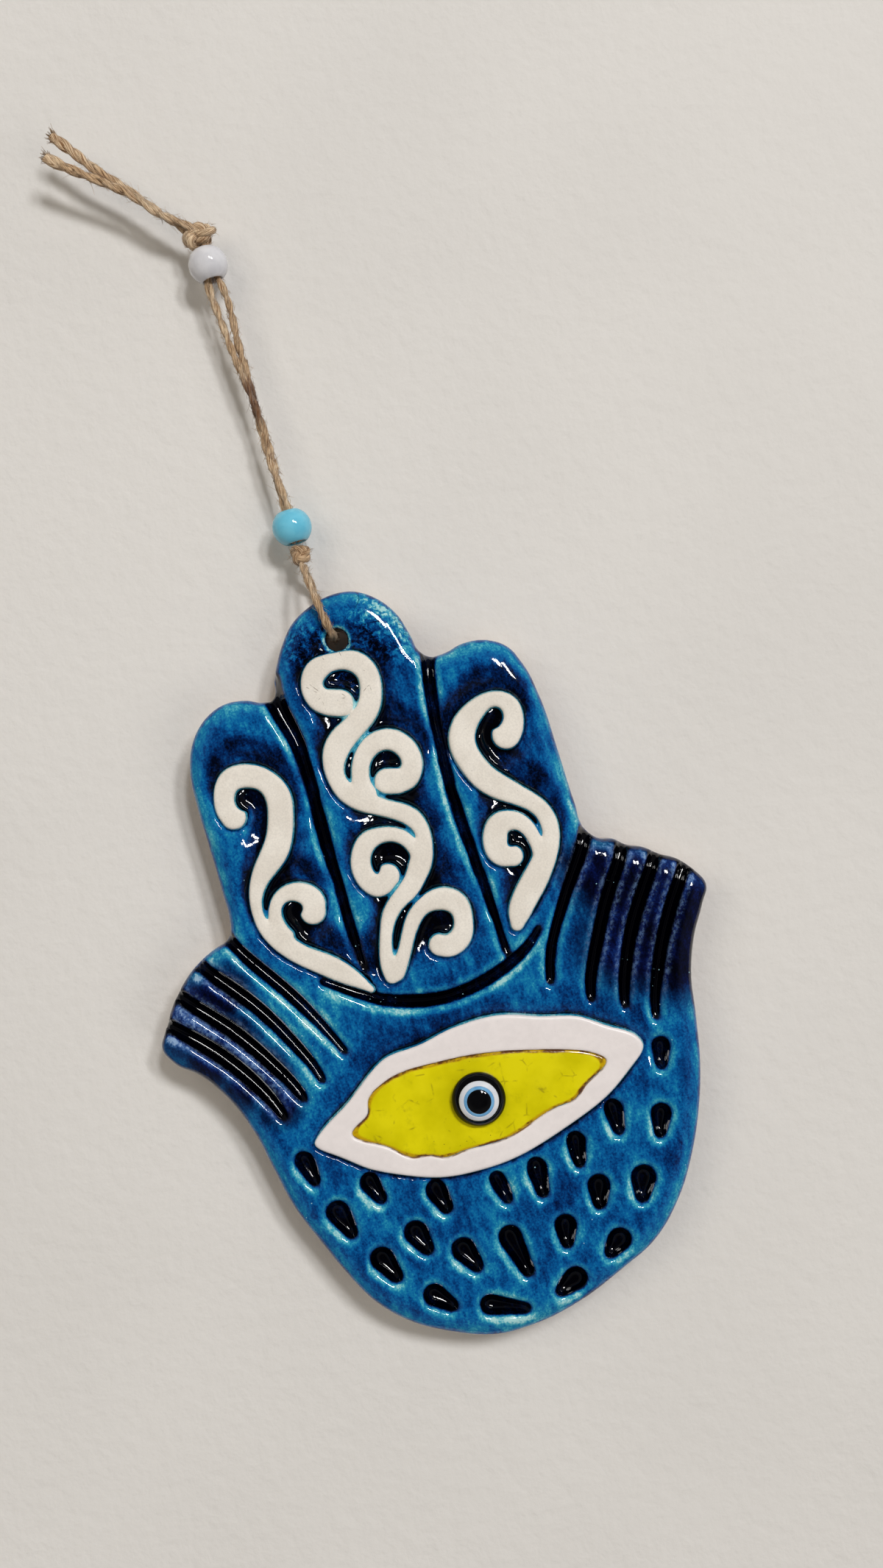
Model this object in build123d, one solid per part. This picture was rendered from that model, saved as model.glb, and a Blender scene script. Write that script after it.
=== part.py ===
from build123d import *
import math
import os

# A glazed clay hamsa hand on a doubled jute twine with two beads.
# It hangs from its origin: X to the viewer's right, Y into the wall, Z up.
# The hand is shaped lying flat, its front towards +Z, and is stood up at the end.

# Hand
hand_height = 113.5
hand_thickness = 7.5
hand_forward = 0.6
front_round = 1.6
back_round = 0.7
hole_diameter = 3.3
hole_rim_round = 0.8
groove_depth = 2.2
groove_wall_spread = 0.45
cuff_groove_depth = 2.0
cuff_groove_wall_spread = 0.5
least_half_width = 0.2
dimple_depth = 2.0
dimple_wall_spread = 0.35

# Scrolls of bare clay, each standing in its own trough. A stroke's first points lie in its curl,
# where the trough is one round hollow, and from there on the trough follows the stroke.
trough_depth = 1.25
trough_width = 1.3
trough_wall_spread = 0.55
scroll_wall_spread = 0.45
curl_point_count = 5

# Eye: a white clay ring, a pool of yellow glass and a glass cabochon on glue
eye_trough_width = 1.1
eye_trough_depth = 1.0
ring_proud = 0.15
pool_sunk = 0.1
pool_thickness = 0.7
cabochon_diameter = 8.0
cabochon_height = 3.0
cabochon_foot = 0.8
pupil_diameter = 3.6
blue_ring_width = 0.45
white_ring_width = 0.7
glass_edge = 0.4
glue_diameter = 7.4
glue_thickness = 0.12

# Cord, knots and beads
twine_diameter = 1.25
bead_diameter = 6.0
bead_bore = 2.95
upper_knot_width = 4.9
upper_knot_height = 3.2
lower_knot_width = 3.2
lower_knot_height = 2.8
knot_turn_share = 0.92

# Places on the cord, all at the middle of its thickness
white_bead_z = 3.75
upper_knot_x = -0.1
upper_knot_z = 8.25
cord_x = 0.46
blue_bead_z = -37.85
lower_knot_z = -42.2

# The picture that the hand's outline and relief are read from, in dots right and down.
# It looks square on at the hand, turned by hang_turn, from eye_distance off the outline.
hand_height_px = 1033
picture_middle_px = (600, 1065)
hanging_point_px = (292, 390)
hole_px = (457, 868)
eye_distance = 240.0
hang_turn = 17.08

outline_px = [
    (371, 928), (374, 908), (382, 876), (396, 846), (417, 825), (446, 808),
    (478, 802), (510, 811), (538, 832), (557, 861), (570, 884), (585, 891), (602, 887),
    (628, 873), (660, 868), (688, 876), (712, 902), (736, 950), (760, 1022), (781, 1088),
    (794, 1124), (812, 1138), (836, 1140), (850, 1147), (876, 1151), (897, 1160), (920, 1166),
    (946, 1183), (961, 1200), (956, 1228), (945, 1272), (941, 1320), (948, 1385), (953, 1440),
    (952, 1500), (944, 1560), (926, 1624), (892, 1685), (844, 1728), (790, 1769), (735, 1798),
    (677, 1815), (612, 1811), (560, 1798), (512, 1772), (470, 1731), (432, 1685), (398, 1640),
    (372, 1592), (346, 1542), (312, 1497), (272, 1463), (236, 1446), (219, 1426), (224, 1400),
    (240, 1352), (266, 1312), (292, 1289), (306, 1280), (312, 1268), (311, 1250), (300, 1210),
    (283, 1152), (267, 1098), (257, 1050), (260, 1010), (276, 978), (302, 957), (334, 951),
    (358, 954), (370, 950), (373, 940)]

# Scroll strokes: points along the middle of each with its width, (right, down, width)
left_scroll_px = [
    [(317, 1110, 32), (304, 1082, 26), (312, 1061, 29), (337, 1054, 29), (362, 1062, 28),
     (378, 1083, 32), (381, 1110, 32), (379, 1139, 33), (371, 1162, 33), (359, 1182, 27),
     (350, 1202, 20), (347, 1222, 15), (350, 1242, 13), (360, 1262, 16), (380, 1279, 24),
     (406, 1296, 25), (439, 1310, 27), (469, 1324, 24), (489, 1335, 15), (505, 1345, 6)],
    [(425, 1239, 32), (421, 1219, 28), (402, 1212, 23), (383, 1218, 17), (374, 1233, 15),
     (375, 1252, 17), (388, 1272, 20)]]
middle_scroll_px = [
    [(462, 955, 34), (446, 954, 33)],
    [(446, 954, 32), (431, 947, 30), (423, 930, 27), (431, 909, 28), (455, 898, 21),
     (481, 898, 26), (499, 913, 26), (504, 938, 27), (501, 960, 28), (488, 980, 28),
     (468, 1000, 32), (456, 1020, 32), (453, 1040, 26), (457, 1058, 22), (470, 1076, 24),
     (495, 1089, 26), (520, 1097, 21), (543, 1103, 22), (561, 1112, 22), (574, 1130, 18),
     (577, 1150, 20), (572, 1170, 28), (566, 1188, 26), (554, 1210, 24), (538, 1228, 20),
     (529, 1245, 18), (525, 1265, 15), (524, 1286, 15), (527, 1310, 18), (533, 1327, 18)],
    [(526, 1061, 32), (540, 1061, 32)],
    [(540, 1061, 30), (555, 1054, 28), (560, 1036, 26), (549, 1014, 26), (527, 1004, 26),
     (504, 1013, 24), (491, 1035, 22), (490, 1058, 22), (498, 1080, 26)],
    [(527, 1190, 30), (510, 1203, 28), (494, 1188, 25), (490, 1165, 24), (499, 1144, 24),
     (521, 1134, 18), (546, 1137, 17), (563, 1153, 16), (570, 1172, 20)],
    [(598, 1284, 28), (614, 1284, 28), (628, 1270, 26), (630, 1251, 23), (622, 1229, 27),
     (600, 1221, 28), (577, 1230, 20), (562, 1249, 18), (555, 1270, 16), (549, 1295, 16),
     (538, 1322, 22)]]
right_scroll_px = [
    [(688, 998, 36), (698, 975, 25), (690, 955, 22), (670, 949, 18), (648, 962, 24),
     (631, 985, 31), (628, 1010, 33), (640, 1035, 32), (658, 1056, 33), (685, 1072, 30),
     (712, 1084, 23), (735, 1099, 21), (747, 1120, 21), (749, 1140, 21), (742, 1162, 28),
     (734, 1181, 31), (724, 1201, 33), (714, 1220, 32), (706, 1240, 28), (703, 1256, 16)],
    [(697, 1163, 26), (678, 1158, 29), (673, 1136, 31), (681, 1118, 28), (701, 1115, 22),
     (718, 1126, 18), (729, 1145, 16), (737, 1163, 20)]]

# Curl heads, where the trough is one round hollow: (right, down, radius)
left_curls_px = [(336, 1086, 47), (404, 1236, 37)]
middle_curls_px = [(463, 930, 49), (525, 1035, 47), (524, 1172, 46), (597, 1253, 46)]
right_curls_px = [(661, 987, 49), (696, 1142, 40)]

# Grooves: points along the middle of each with its width, (right, down, width)
finger_grooves_px = [
    [(366, 925, 26), (376, 958, 26), (399, 1000, 22), (430, 1100, 18), (459, 1200, 15),
     (486, 1292, 11), (506, 1342, 5)],
    [(583, 870, 20), (582, 912, 16), (588, 955, 16), (606, 1045, 16), (632, 1130, 15),
     (659, 1205, 14), (677, 1258, 11), (690, 1296, 5)]]
palm_groove_px = [
    (436, 1334, 12), (470, 1346, 14), (510, 1357, 16), (555, 1361, 17), (603, 1356, 16),
    (650, 1338, 16), (690, 1312, 15), (716, 1287, 13), (733, 1258, 8)]
left_cuff_grooves_px = [
    [(306, 1273, 16), (322, 1290, 16), (350, 1315, 18), (378, 1338, 18), (412, 1369, 17),
     (444, 1402, 13), (470, 1432, 6)],
    [(268, 1312, 16), (300, 1334, 18), (335, 1359, 19), (372, 1391, 18), (406, 1427, 16),
     (428, 1453, 13), (439, 1471, 8)],
    [(238, 1353, 16), (272, 1374, 19), (310, 1398, 20), (347, 1427, 19), (380, 1457, 17),
     (402, 1480, 15), (414, 1496, 8)],
    [(222, 1393, 16), (262, 1413, 20), (297, 1434, 21), (330, 1459, 20), (355, 1482, 18),
     (375, 1504, 14), (387, 1521, 8)]]
right_cuff_grooves_px = [
    [(796, 1128, 20), (788, 1160, 19), (773, 1202, 17), (760, 1245, 14), (751, 1280, 13),
     (748, 1312, 13), (749, 1336, 8)],
    [(848, 1136, 16), (841, 1172, 17), (829, 1208, 17), (818, 1250, 17), (808, 1300, 16),
     (803, 1340, 14), (805, 1361, 8)],
    [(897, 1148, 16), (886, 1178, 17), (873, 1215, 18), (861, 1255, 18), (852, 1305, 16),
     (849, 1344, 14), (851, 1369, 8)],
    [(938, 1166, 16), (925, 1195, 18), (911, 1238, 18), (901, 1280, 17), (894, 1325, 15),
     (891, 1360, 12), (893, 1384, 8)]]

# Dimples: (right, down, length, width, turn of the pointed end from rightwards, in degrees)
dimples_px = [
    (419, 1590, 52, 27, 62), (508, 1617, 50, 28, 55), (598, 1628, 52, 30, 60),
    (682, 1615, 50, 24, 62), (733, 1601, 58, 28, 76), (785, 1563, 52, 27, 80),
    (837, 1519, 52, 27, 74), (899, 1432, 46, 26, 86), (899, 1524, 48, 28, 92),
    (875, 1610, 52, 34, 93), (815, 1621, 48, 30, 87), (770, 1675, 47, 29, 84),
    (839, 1692, 46, 32, 125), (776, 1745, 50, 32, 139), (704, 1702, 76, 31, 62),
    (637, 1708, 54, 32, 50), (571, 1685, 52, 32, 54), (466, 1660, 58, 32, 56),
    (527, 1722, 56, 32, 50), (600, 1767, 52, 30, 30), (688, 1777, 70, 28, 6)]
dimple_point_share = 0.5

# Eye outlines
ring_px = [
    (429, 1550), (440, 1535), (470, 1503), (502, 1461), (527, 1437), (565, 1423), (604, 1403),
    (640, 1389), (680, 1380), (740, 1382), (785, 1382), (830, 1396), (866, 1409), (873, 1418),
    (862, 1443), (826, 1487), (786, 1519), (745, 1547), (701, 1572), (650, 1590), (600, 1599),
    (548, 1596), (500, 1587), (455, 1569)]
pool_px = [
    (479, 1538), (486, 1529), (500, 1513), (500, 1497), (514, 1478), (540, 1460), (578, 1448),
    (620, 1438), (670, 1430), (720, 1427), (775, 1427), (812, 1433), (824, 1441), (815, 1456),
    (796, 1474), (782, 1493), (760, 1503), (725, 1524), (696, 1543), (660, 1556), (625, 1566),
    (605, 1573), (585, 1570), (562, 1573), (535, 1562), (505, 1553)]
cabochon_px = (650.5, 1492)

# Twine routes, right, back and up from the hanging point
left_twine_route = [
    (-17.6, -1.9, 28.8), (-12.8, -1.4, 24.1), (-8.1, -0.7, 18.0), (-4.4, -0.3, 13.3),
    (-1.5, 0.1, 9.6), (-0.67, 0.0, 6.9), (-0.66, 0.0, 1.9), (-1.04, 0.0, 0.0),
    (-0.76, 0.0, -3.4), (-0.6, 0.0, -8.8), (-0.2, 0.0, -14.6), (-0.2, 0.0, -40.2)]
right_twine_route = [
    (-18.8, -2.3, 26.4), (-14.4, -2.1, 22.6), (-9.4, -1.9, 17.0), (-4.5, -1.7, 11.7),
    (-0.4, -1.3, 9.4), (0.67, 0.0, 6.9), (0.66, 0.0, 1.9), (1.16, 0.0, 0.0),
    (1.32, 0.0, -3.2), (0.75, 0.0, -8.9), (1.12, 0.0, -14.6), (1.12, 0.0, -40.2)]
hole_loop_route = [
    (0.4, -0.9, -43.9), (0.5, -3.2, -46.1), (0.8, -5.4, -49.4), (1.66, -5.35, -55.6),
    (1.76, -0.6, -55.76), (1.66, 4.15, -55.6), (0.8, 4.25, -49.4), (0.5, 2.7, -46.1),
    (0.4, 0.9, -43.9)]
bend_share = 0.45

overrun = 1.0
blue_ring_diameter = pupil_diameter + 2 * blue_ring_width
white_ring_diameter = blue_ring_diameter + 2 * white_ring_width
half_thickness = hand_thickness / 2
outline_level = half_thickness - front_round
dot = hand_height / hand_height_px


def from_middle(point, level):
    """Set a picture point in millimetres from the picture's middle, at a level on the hand."""
    size = dot * (eye_distance + outline_level - level) / eye_distance
    return Vector((point[0] - picture_middle_px[0]) * size, (picture_middle_px[1] - point[1]) * size)


def spot(point, level=half_thickness):
    """Set a picture point in millimetres from the hanging point, turned as the hand hangs."""
    return (from_middle(point, level) - from_middle(hanging_point_px, 0)).rotate(Axis.Z, -hang_turn)


def stand(shape):
    """Turn a shape from lying flat to hanging, a little in front of the cord's own plane."""
    return Pos(0, -hand_forward, 0) * Rot(90, 0, 0) * shape


def heading(before, place, after):
    """Give the way a line heads at a place, as the circle through its neighbours does."""
    come = place - before
    leave = after - place
    return (come * leave.length ** 2 + leave * come.length ** 2).normalized()


def arcs_round(places):
    """Join places into a closed line of tangent arcs, two from each place to the next."""
    ring = places[-1:] + places + places[:2]
    ways = [heading(*three) for three in zip(ring, ring[1:], ring[2:])]
    arcs = []
    for start, end, leave, arrive in zip(places, places[1:] + places[:1], ways, ways[1:]):
        reach = end - start
        both = leave + arrive
        bend = 2 * (1 - leave.dot(arrive))
        ahead = reach.dot(both)
        arm = reach.dot(reach) / (ahead + math.sqrt(ahead ** 2 + bend * reach.dot(reach)))
        near = start + leave * arm
        far = end - arrive * arm
        middle = (near + far) * 0.5
        arcs.append(TangentArc(start, middle, tangent=leave))
        arcs.append(TangentArc(middle, end, tangent=far - near))
    return arcs


def ribbon(stroke, spread, level):
    """Make the closed line of a stroke with round ends, spread wider on each side."""
    places = [spot(point, level) for point in stroke]
    left_side, right_side, ahead = [], [], []
    for number, place in enumerate(places):
        before = places[max(number - 1, 0)]
        after = places[min(number + 1, len(places) - 1)]
        along = (after - before).normalized()
        half_width = max(stroke[number][2] * dot / 2 + spread, least_half_width)
        across = Vector(-along.Y, along.X) * half_width
        left_side.append(place + across)
        right_side.append(place - across)
        ahead.append(along * half_width)
    return Wire([
        Spline(*left_side),
        ThreePointArc(left_side[-1], places[-1] + ahead[-1], right_side[-1]),
        Spline(*reversed(right_side)),
        ThreePointArc(right_side[0], places[0] - ahead[0], left_side[0])])


def teardrop(length, width):
    """Make a closed teardrop line on the origin, pointing along X."""
    blunt = width / 2
    point = blunt * dimple_point_share
    reach = length - blunt - point
    lean = math.acos((blunt - point) / reach)
    start = Vector(-length / 2 + blunt, 0)
    end = start + Vector(reach, 0)
    side = Vector(math.cos(lean), math.sin(lean))
    other_side = Vector(side.X, -side.Y)
    return Wire([
        Line(start + side * blunt, end + side * point),
        ThreePointArc(end + side * point, end + Vector(point, 0), end + other_side * point),
        Line(end + other_side * point, start + other_side * blunt),
        ThreePointArc(start + other_side * blunt, start - Vector(blunt, 0), start + side * blunt)])


def sloped(bottom_line, top_line, bottom, top):
    """Join two closed lines, one above the other, into a solid with sloped sides."""
    return Solid.make_loft([Pos(0, 0, bottom) * bottom_line, Pos(0, 0, top) * top_line], ruled=True)


def trench(stroke, depth, slope, spread=0.0):
    """Make the cutter of a groove whose sides lean out by the slope."""
    rise = slope * overrun / depth
    return sloped(ribbon(stroke, spread - slope, half_thickness),
                  ribbon(stroke, spread + rise, half_thickness),
                  half_thickness - depth, half_thickness + overrun)


def curl_hollow(curl):
    place = spot(curl)
    radius = curl[2] * dot + trough_width
    rise = trough_wall_spread * overrun / trough_depth
    return Pos(place.X, place.Y, half_thickness - trough_depth) * Cone(
        radius - trough_wall_spread, radius + rise, trough_depth + overrun,
        align=(Align.CENTER, Align.CENTER, Align.MIN))


def scroll_troughs():
    """Make the cutters that leave each scroll standing in a trough."""
    strokes = left_scroll_px + middle_scroll_px + right_scroll_px
    stems = [stroke[curl_point_count:] for stroke in strokes if len(stroke) > 2 * curl_point_count]
    curls = left_curls_px + middle_curls_px + right_curls_px
    return [trench(stem, trough_depth, trough_wall_spread, trough_width) for stem in stems] + [
        curl_hollow(curl) for curl in curls]


def dimple(place_px):
    length = place_px[2] * dot
    width = place_px[3] * dot
    place = spot(place_px)
    inset = 2 * dimple_wall_spread
    rise = inset * overrun / dimple_depth
    cutter = sloped(teardrop(length - inset, width - inset), teardrop(length + rise, width + rise),
                    half_thickness - dimple_depth, half_thickness + overrun)
    return Pos(place.X, place.Y, 0) * Rot(0, 0, -place_px[4] - hang_turn) * cutter


def scroll(strokes):
    """Make one finger's scroll, its strokes melted together and widest at the foot."""
    foot = half_thickness - trough_depth
    pieces = [
        sloped(ribbon(stroke, scroll_wall_spread, half_thickness), ribbon(stroke, 0, half_thickness),
               foot, half_thickness)
        for stroke in strokes]
    return pieces[0].fuse(*pieces[1:]) if pieces[1:] else pieces[0]


def hole_cutter():
    place = spot(hole_px)
    radius = hole_diameter / 2
    outer = radius + hole_rim_round
    shape = Pos(place.X, place.Y, 0) * Cylinder(radius, hand_thickness + 2 * overrun)
    flare = Cylinder(outer, hole_rim_round, align=(Align.CENTER, Align.CENTER, Align.MAX))
    flare -= Pos(0, 0, -hole_rim_round) * Torus(outer, hole_rim_round)
    rim = Pos(place.X, place.Y, half_thickness) * flare
    return [shape, rim, mirror(rim, Plane.XY)]


def hand_blank():
    """Make the clay slab with its outline and rounded edges, before anything is pressed in."""
    outline = Wire(arcs_round([spot(point, outline_level) for point in outline_px]))
    slab = extrude(Face(outline), amount=hand_thickness, dir=(0, 0, 1))
    slab = fillet(slab.edges().group_by(Axis.Z)[-1], front_round)
    slab = fillet(slab.edges().group_by(Axis.Z)[0], back_round)
    return Pos(0, 0, -half_thickness) * slab


def eye_line(points, spread):
    """Make a closed line round the eye, spread outwards by the given width."""
    places = [spot(point) for point in points]
    middle = sum(places, Vector(0, 0, 0)) * (1 / len(places))
    moved = []
    for number, place in enumerate(places):
        along = (places[(number + 1) % len(places)] - places[number - 1]).normalized()
        out = Vector(-along.Y, along.X)
        if out.dot(place - middle) < 0:
            out = out * -1
        moved.append(place + out * spread)
    return Wire([Spline(*moved, periodic=True)])


def eye_hollow():
    rise = trough_wall_spread * overrun / eye_trough_depth
    return sloped(eye_line(ring_px, eye_trough_width - trough_wall_spread),
                  eye_line(ring_px, eye_trough_width + rise),
                  half_thickness - eye_trough_depth, half_thickness + overrun)


def eye_ring():
    foot = half_thickness - eye_trough_depth
    top = half_thickness + ring_proud
    ring = sloped(eye_line(ring_px, scroll_wall_spread), eye_line(ring_px, 0), foot, top)
    opening = extrude(Face(eye_line(pool_px, 0)), amount=pool_thickness + overrun, dir=(0, 0, 1))
    return ring - Pos(0, 0, top - pool_sunk - pool_thickness) * opening


def yellow_pool():
    pool = extrude(Face(eye_line(pool_px, 0)), amount=pool_thickness, dir=(0, 0, 1))
    return Pos(0, 0, half_thickness + ring_proud - pool_sunk - pool_thickness) * pool


def dome_height(across):
    """Give the height of the glass dome over its flat back at a distance from its middle."""
    crown = cabochon_height - cabochon_foot
    ball = ((cabochon_diameter / 2) ** 2 + crown ** 2) / (2 * crown)
    return cabochon_height - ball + math.sqrt(ball ** 2 - across ** 2)


def cabochon_dome():
    """Make the whole glass button on the origin, flat below and domed above."""
    crown = cabochon_height - cabochon_foot
    ball = ((cabochon_diameter / 2) ** 2 + crown ** 2) / (2 * crown)
    upright = (Align.CENTER, Align.CENTER, Align.MIN)
    return Cylinder(cabochon_diameter / 2, cabochon_height, align=upright) & (
        Pos(0, 0, cabochon_height - ball) * Sphere(ball))


def glass_layer(outer, inner):
    """Cut one coloured piece, a ring or a disc, out of the top of the dome."""
    floor = dome_height(white_ring_diameter / 2) - glass_edge
    upright = (Align.CENTER, Align.CENTER, Align.MIN)
    core = Cylinder(outer / 2, cabochon_height, align=upright)
    if inner:
        core -= Cylinder(inner / 2, cabochon_height, align=upright)
    return cabochon_dome() & Pos(0, 0, floor) * core


def knot(width, height, turns):
    """Make a knot on the origin: a core with the twine's turns standing out round it."""
    radius = height / 2
    turn_radius = twine_diameter / 2 * knot_turn_share
    core = Rot(0, 90, 0) * Cylinder(radius - turn_radius, width - twine_diameter)
    step = (width - 2 * turn_radius) / max(turns - 1, 1)
    for number in range(turns):
        place = (number - (turns - 1) / 2) * step
        ring = Rot(0, 90, 0) * Torus(radius - turn_radius, turn_radius)
        core += Pos(place, 0, 0) * ring
    return core


def bead():
    """Make a round bead on the origin with its bore upright."""
    return Sphere(bead_diameter / 2) - Cylinder(bead_bore / 2, bead_diameter + overrun)


def tube(route, name):
    """Make a length of twine along its route, with each bend as wide as its runs allow."""
    points = [Vector(*point) for point in route]
    radii = []
    for before, corner, after in zip(points, points[1:], points[2:]):
        turn = (corner - before).get_angle(after - corner)
        shorter = min((corner - before).length, (after - corner).length)
        radii.append(bend_share * shorter / math.tan(math.radians(turn) / 2))
    line = FilletPolyline(*points, radius=radii)
    start = Plane(origin=line @ 0, z_dir=line % 0)
    solid = sweep(start * Circle(twine_diameter / 2), path=line, transition=Transition.TRANSFORMED)
    section = math.pi * twine_diameter ** 2 / 4
    print(name, "length", round(line.length, 2), "tightest bend", round(min(radii), 2),
          "volume against section times length", round(solid.volume / (section * line.length), 4))
    return solid


os.makedirs("parts", exist_ok=True)

hand = hand_blank().cut(*hole_cutter())
hand = hand.cut(*[trench(stroke, groove_depth, groove_wall_spread)
                  for stroke in finger_grooves_px + [palm_groove_px]])
for stroke in left_cuff_grooves_px + right_cuff_grooves_px:
    hand -= trench(stroke, cuff_groove_depth, cuff_groove_wall_spread)
hand = hand.cut(*scroll_troughs())
hand = hand.cut(*[dimple(place_px) for place_px in dimples_px])
hand -= eye_hollow()

cabochon_place = spot(cabochon_px)
glass_seat = half_thickness + ring_proud - pool_sunk
button = Pos(cabochon_place.X, cabochon_place.Y, glass_seat + glue_thickness)
pupil = glass_layer(pupil_diameter, 0)
blue_ring = glass_layer(blue_ring_diameter, pupil_diameter)
white_ring = glass_layer(white_ring_diameter, blue_ring_diameter)
black_glass = cabochon_dome() - glass_layer(white_ring_diameter, 0)
glue = Pos(cabochon_place.X, cabochon_place.Y, glass_seat) * Cylinder(
    glue_diameter / 2, glue_thickness, align=(Align.CENTER, Align.CENTER, Align.MIN))

parts = {
    "clay_hand": stand(hand),
    "left_finger_scroll": stand(scroll(left_scroll_px)),
    "middle_finger_scroll": stand(scroll(middle_scroll_px)),
    "right_finger_scroll": stand(scroll(right_scroll_px)),
    "eye_white_ring": stand(eye_ring()),
    "eye_yellow_pool": stand(yellow_pool()),
    "cabochon_glue": stand(glue),
    "cabochon_black_glass": stand(button * black_glass),
    "cabochon_white_ring": stand(button * white_ring),
    "cabochon_blue_ring": stand(button * blue_ring),
    "cabochon_pupil": stand(button * pupil),
    "white_bead": Pos(0, 0, white_bead_z) * bead(),
    "blue_bead": Pos(cord_x, 0, blue_bead_z) * bead(),
    "upper_knot": Pos(upper_knot_x, 0, upper_knot_z) * knot(upper_knot_width, upper_knot_height, 3),
    "lower_knot": Pos(cord_x, 0, lower_knot_z) * knot(lower_knot_width, lower_knot_height, 2),
    "left_twine": tube(left_twine_route, "left_twine"),
    "right_twine": tube(right_twine_route, "right_twine"),
    "hole_loop": tube(hole_loop_route, "hole_loop"),
}
for name, shape in parts.items():
    export_step(shape, "parts/" + name + ".step")
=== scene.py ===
import bmesh
import bpy
import math
import numpy as np
import random
from mathutils import Matrix, Vector
from mathutils.bvhtree import BVHTree


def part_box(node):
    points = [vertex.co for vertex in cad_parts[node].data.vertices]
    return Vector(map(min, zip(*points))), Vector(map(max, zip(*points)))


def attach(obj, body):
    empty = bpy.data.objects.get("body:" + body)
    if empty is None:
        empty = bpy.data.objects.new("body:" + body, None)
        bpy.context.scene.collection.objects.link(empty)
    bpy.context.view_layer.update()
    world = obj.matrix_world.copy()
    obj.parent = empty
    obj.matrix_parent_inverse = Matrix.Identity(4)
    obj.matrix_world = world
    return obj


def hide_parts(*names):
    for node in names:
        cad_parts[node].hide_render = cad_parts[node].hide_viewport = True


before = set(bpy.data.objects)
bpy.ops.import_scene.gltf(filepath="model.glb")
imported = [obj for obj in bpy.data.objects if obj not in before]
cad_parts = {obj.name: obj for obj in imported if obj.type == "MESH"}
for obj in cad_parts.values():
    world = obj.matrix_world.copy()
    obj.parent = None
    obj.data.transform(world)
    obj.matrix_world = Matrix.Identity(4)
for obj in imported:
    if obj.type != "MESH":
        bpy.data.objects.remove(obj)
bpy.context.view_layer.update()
mm = 0.001
scene = bpy.context.scene
scene.view_settings.view_transform = "Standard"


def added(name, data):  # a new object in the scene
    thing = bpy.data.objects.new(name, data)
    scene.collection.objects.link(thing)
    return thing


# The picture's frame, and the way from its pixels to places and back

cameraSettings = {
    "place": (10.66, -242.75, -81.56),  # mm from the hanging point
    "lean": 17.08,                      # degrees that the picture leans to the plumb line
    "focal": 2184.0,                    # pixels
    "middle": (600.0, 1065.5),          # pixels
    "imageHeight": 2131,
    "sensor": 36.0,
}


def addCamera(settings):
    data = bpy.data.cameras.new("view")
    data.sensor_width = settings["sensor"]
    data.lens = settings["focal"] / settings["imageHeight"] * settings["sensor"]
    data.clip_start = 0.01
    camera = added("view", data)
    c = math.cos(math.radians(settings["lean"]))
    s = math.sin(math.radians(settings["lean"]))
    x, y, z = (value * mm for value in settings["place"])
    camera.matrix_world = Matrix(((c, s, 0, x), (0, 0, -1, y), (-s, c, 0, z), (0, 0, 0, 1)))
    scene.camera = camera


def pictureOf(places):  # columns right and down in pixels, for places in mm
    c = math.cos(math.radians(cameraSettings["lean"]))
    s = math.sin(math.radians(cameraSettings["lean"]))
    away = places - np.array(cameraSettings["place"])
    scale = cameraSettings["focal"] / away[:, 1]
    right = cameraSettings["middle"][0] + (away[:, 0] * c - away[:, 2] * s) * scale
    down = cameraSettings["middle"][1] - (away[:, 0] * s + away[:, 2] * c) * scale
    return right, down


addCamera(cameraSettings)
print("camera placed")


# Small helpers for pieces, meshes and attributes

def addPiece(name, mesh, body, slotName, *materials):
    piece = added(name, mesh)
    mesh.materials.clear()
    for material in materials:
        mesh.materials.append(material)
    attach(piece, body)
    return piece


def shadeSmooth(mesh):
    mesh.polygons.foreach_set("use_smooth", [True] * len(mesh.polygons))


def finishedMesh(holder):
    graph = bpy.context.evaluated_depsgraph_get()
    mesh = bpy.data.meshes.new_from_object(holder.evaluated_get(graph), depsgraph=graph)
    bpy.data.objects.remove(holder)
    return mesh


def readPlaces(mesh):  # in mm
    flat = np.zeros(len(mesh.vertices) * 3, np.float32)
    mesh.vertices.foreach_get("co", flat)
    return flat.reshape(-1, 3).astype(float) / mm


def writePlaces(mesh, places):
    mesh.vertices.foreach_set("co", (places * mm).astype(np.float32).ravel())
    mesh.update()


def writeAttribute(mesh, name, values):
    attribute = mesh.attributes.new(name, "FLOAT", "POINT")
    attribute.data.foreach_set("value", np.asarray(values, np.float32))


def mergedCopy(nodeName):
    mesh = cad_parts[nodeName].data.copy()
    bm = bmesh.new()
    bm.from_mesh(mesh)
    bmesh.ops.remove_doubles(bm, verts=bm.verts, dist=0.001 * mm)
    bm.to_mesh(mesh)
    bm.free()
    return mesh


def remeshed(nodeName, voxel, rounds):  # an even mesh of a node with its edges eased
    holder = added(nodeName + "Holder", mergedCopy(nodeName))
    remesh = holder.modifiers.new("remesh", "REMESH")
    remesh.mode = "VOXEL"
    remesh.voxel_size = voxel * mm
    mesh = finishedMesh(holder)
    bm = bmesh.new()
    bm.from_mesh(mesh)
    everyWay = {"use_axis_x": True, "use_axis_y": True, "use_axis_z": True}
    for _ in range(rounds):
        bmesh.ops.smooth_vert(bm, verts=bm.verts, factor=0.5, **everyWay)
    bm.to_mesh(mesh)
    bm.free()
    return mesh


def nodeTree(nodeName):
    mesh = mergedCopy(nodeName)
    places = [vertex.co.copy() for vertex in mesh.vertices]
    faces = [tuple(face.vertices) for face in mesh.polygons]
    return BVHTree.FromPolygons(places, faces)


def smoothStep(low, high, values):
    share = np.clip((values - low) / (high - low), 0, 1)
    return share * share * (3 - 2 * share)


# Node helpers

def linearColour(red, green, blue):
    parts = []
    for value in (red, green, blue):
        share = value / 255
        parts.append(share / 12.92 if share <= 0.04045 else ((share + 0.055) / 1.055) ** 2.4)
    return (*parts, 1.0)


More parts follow.
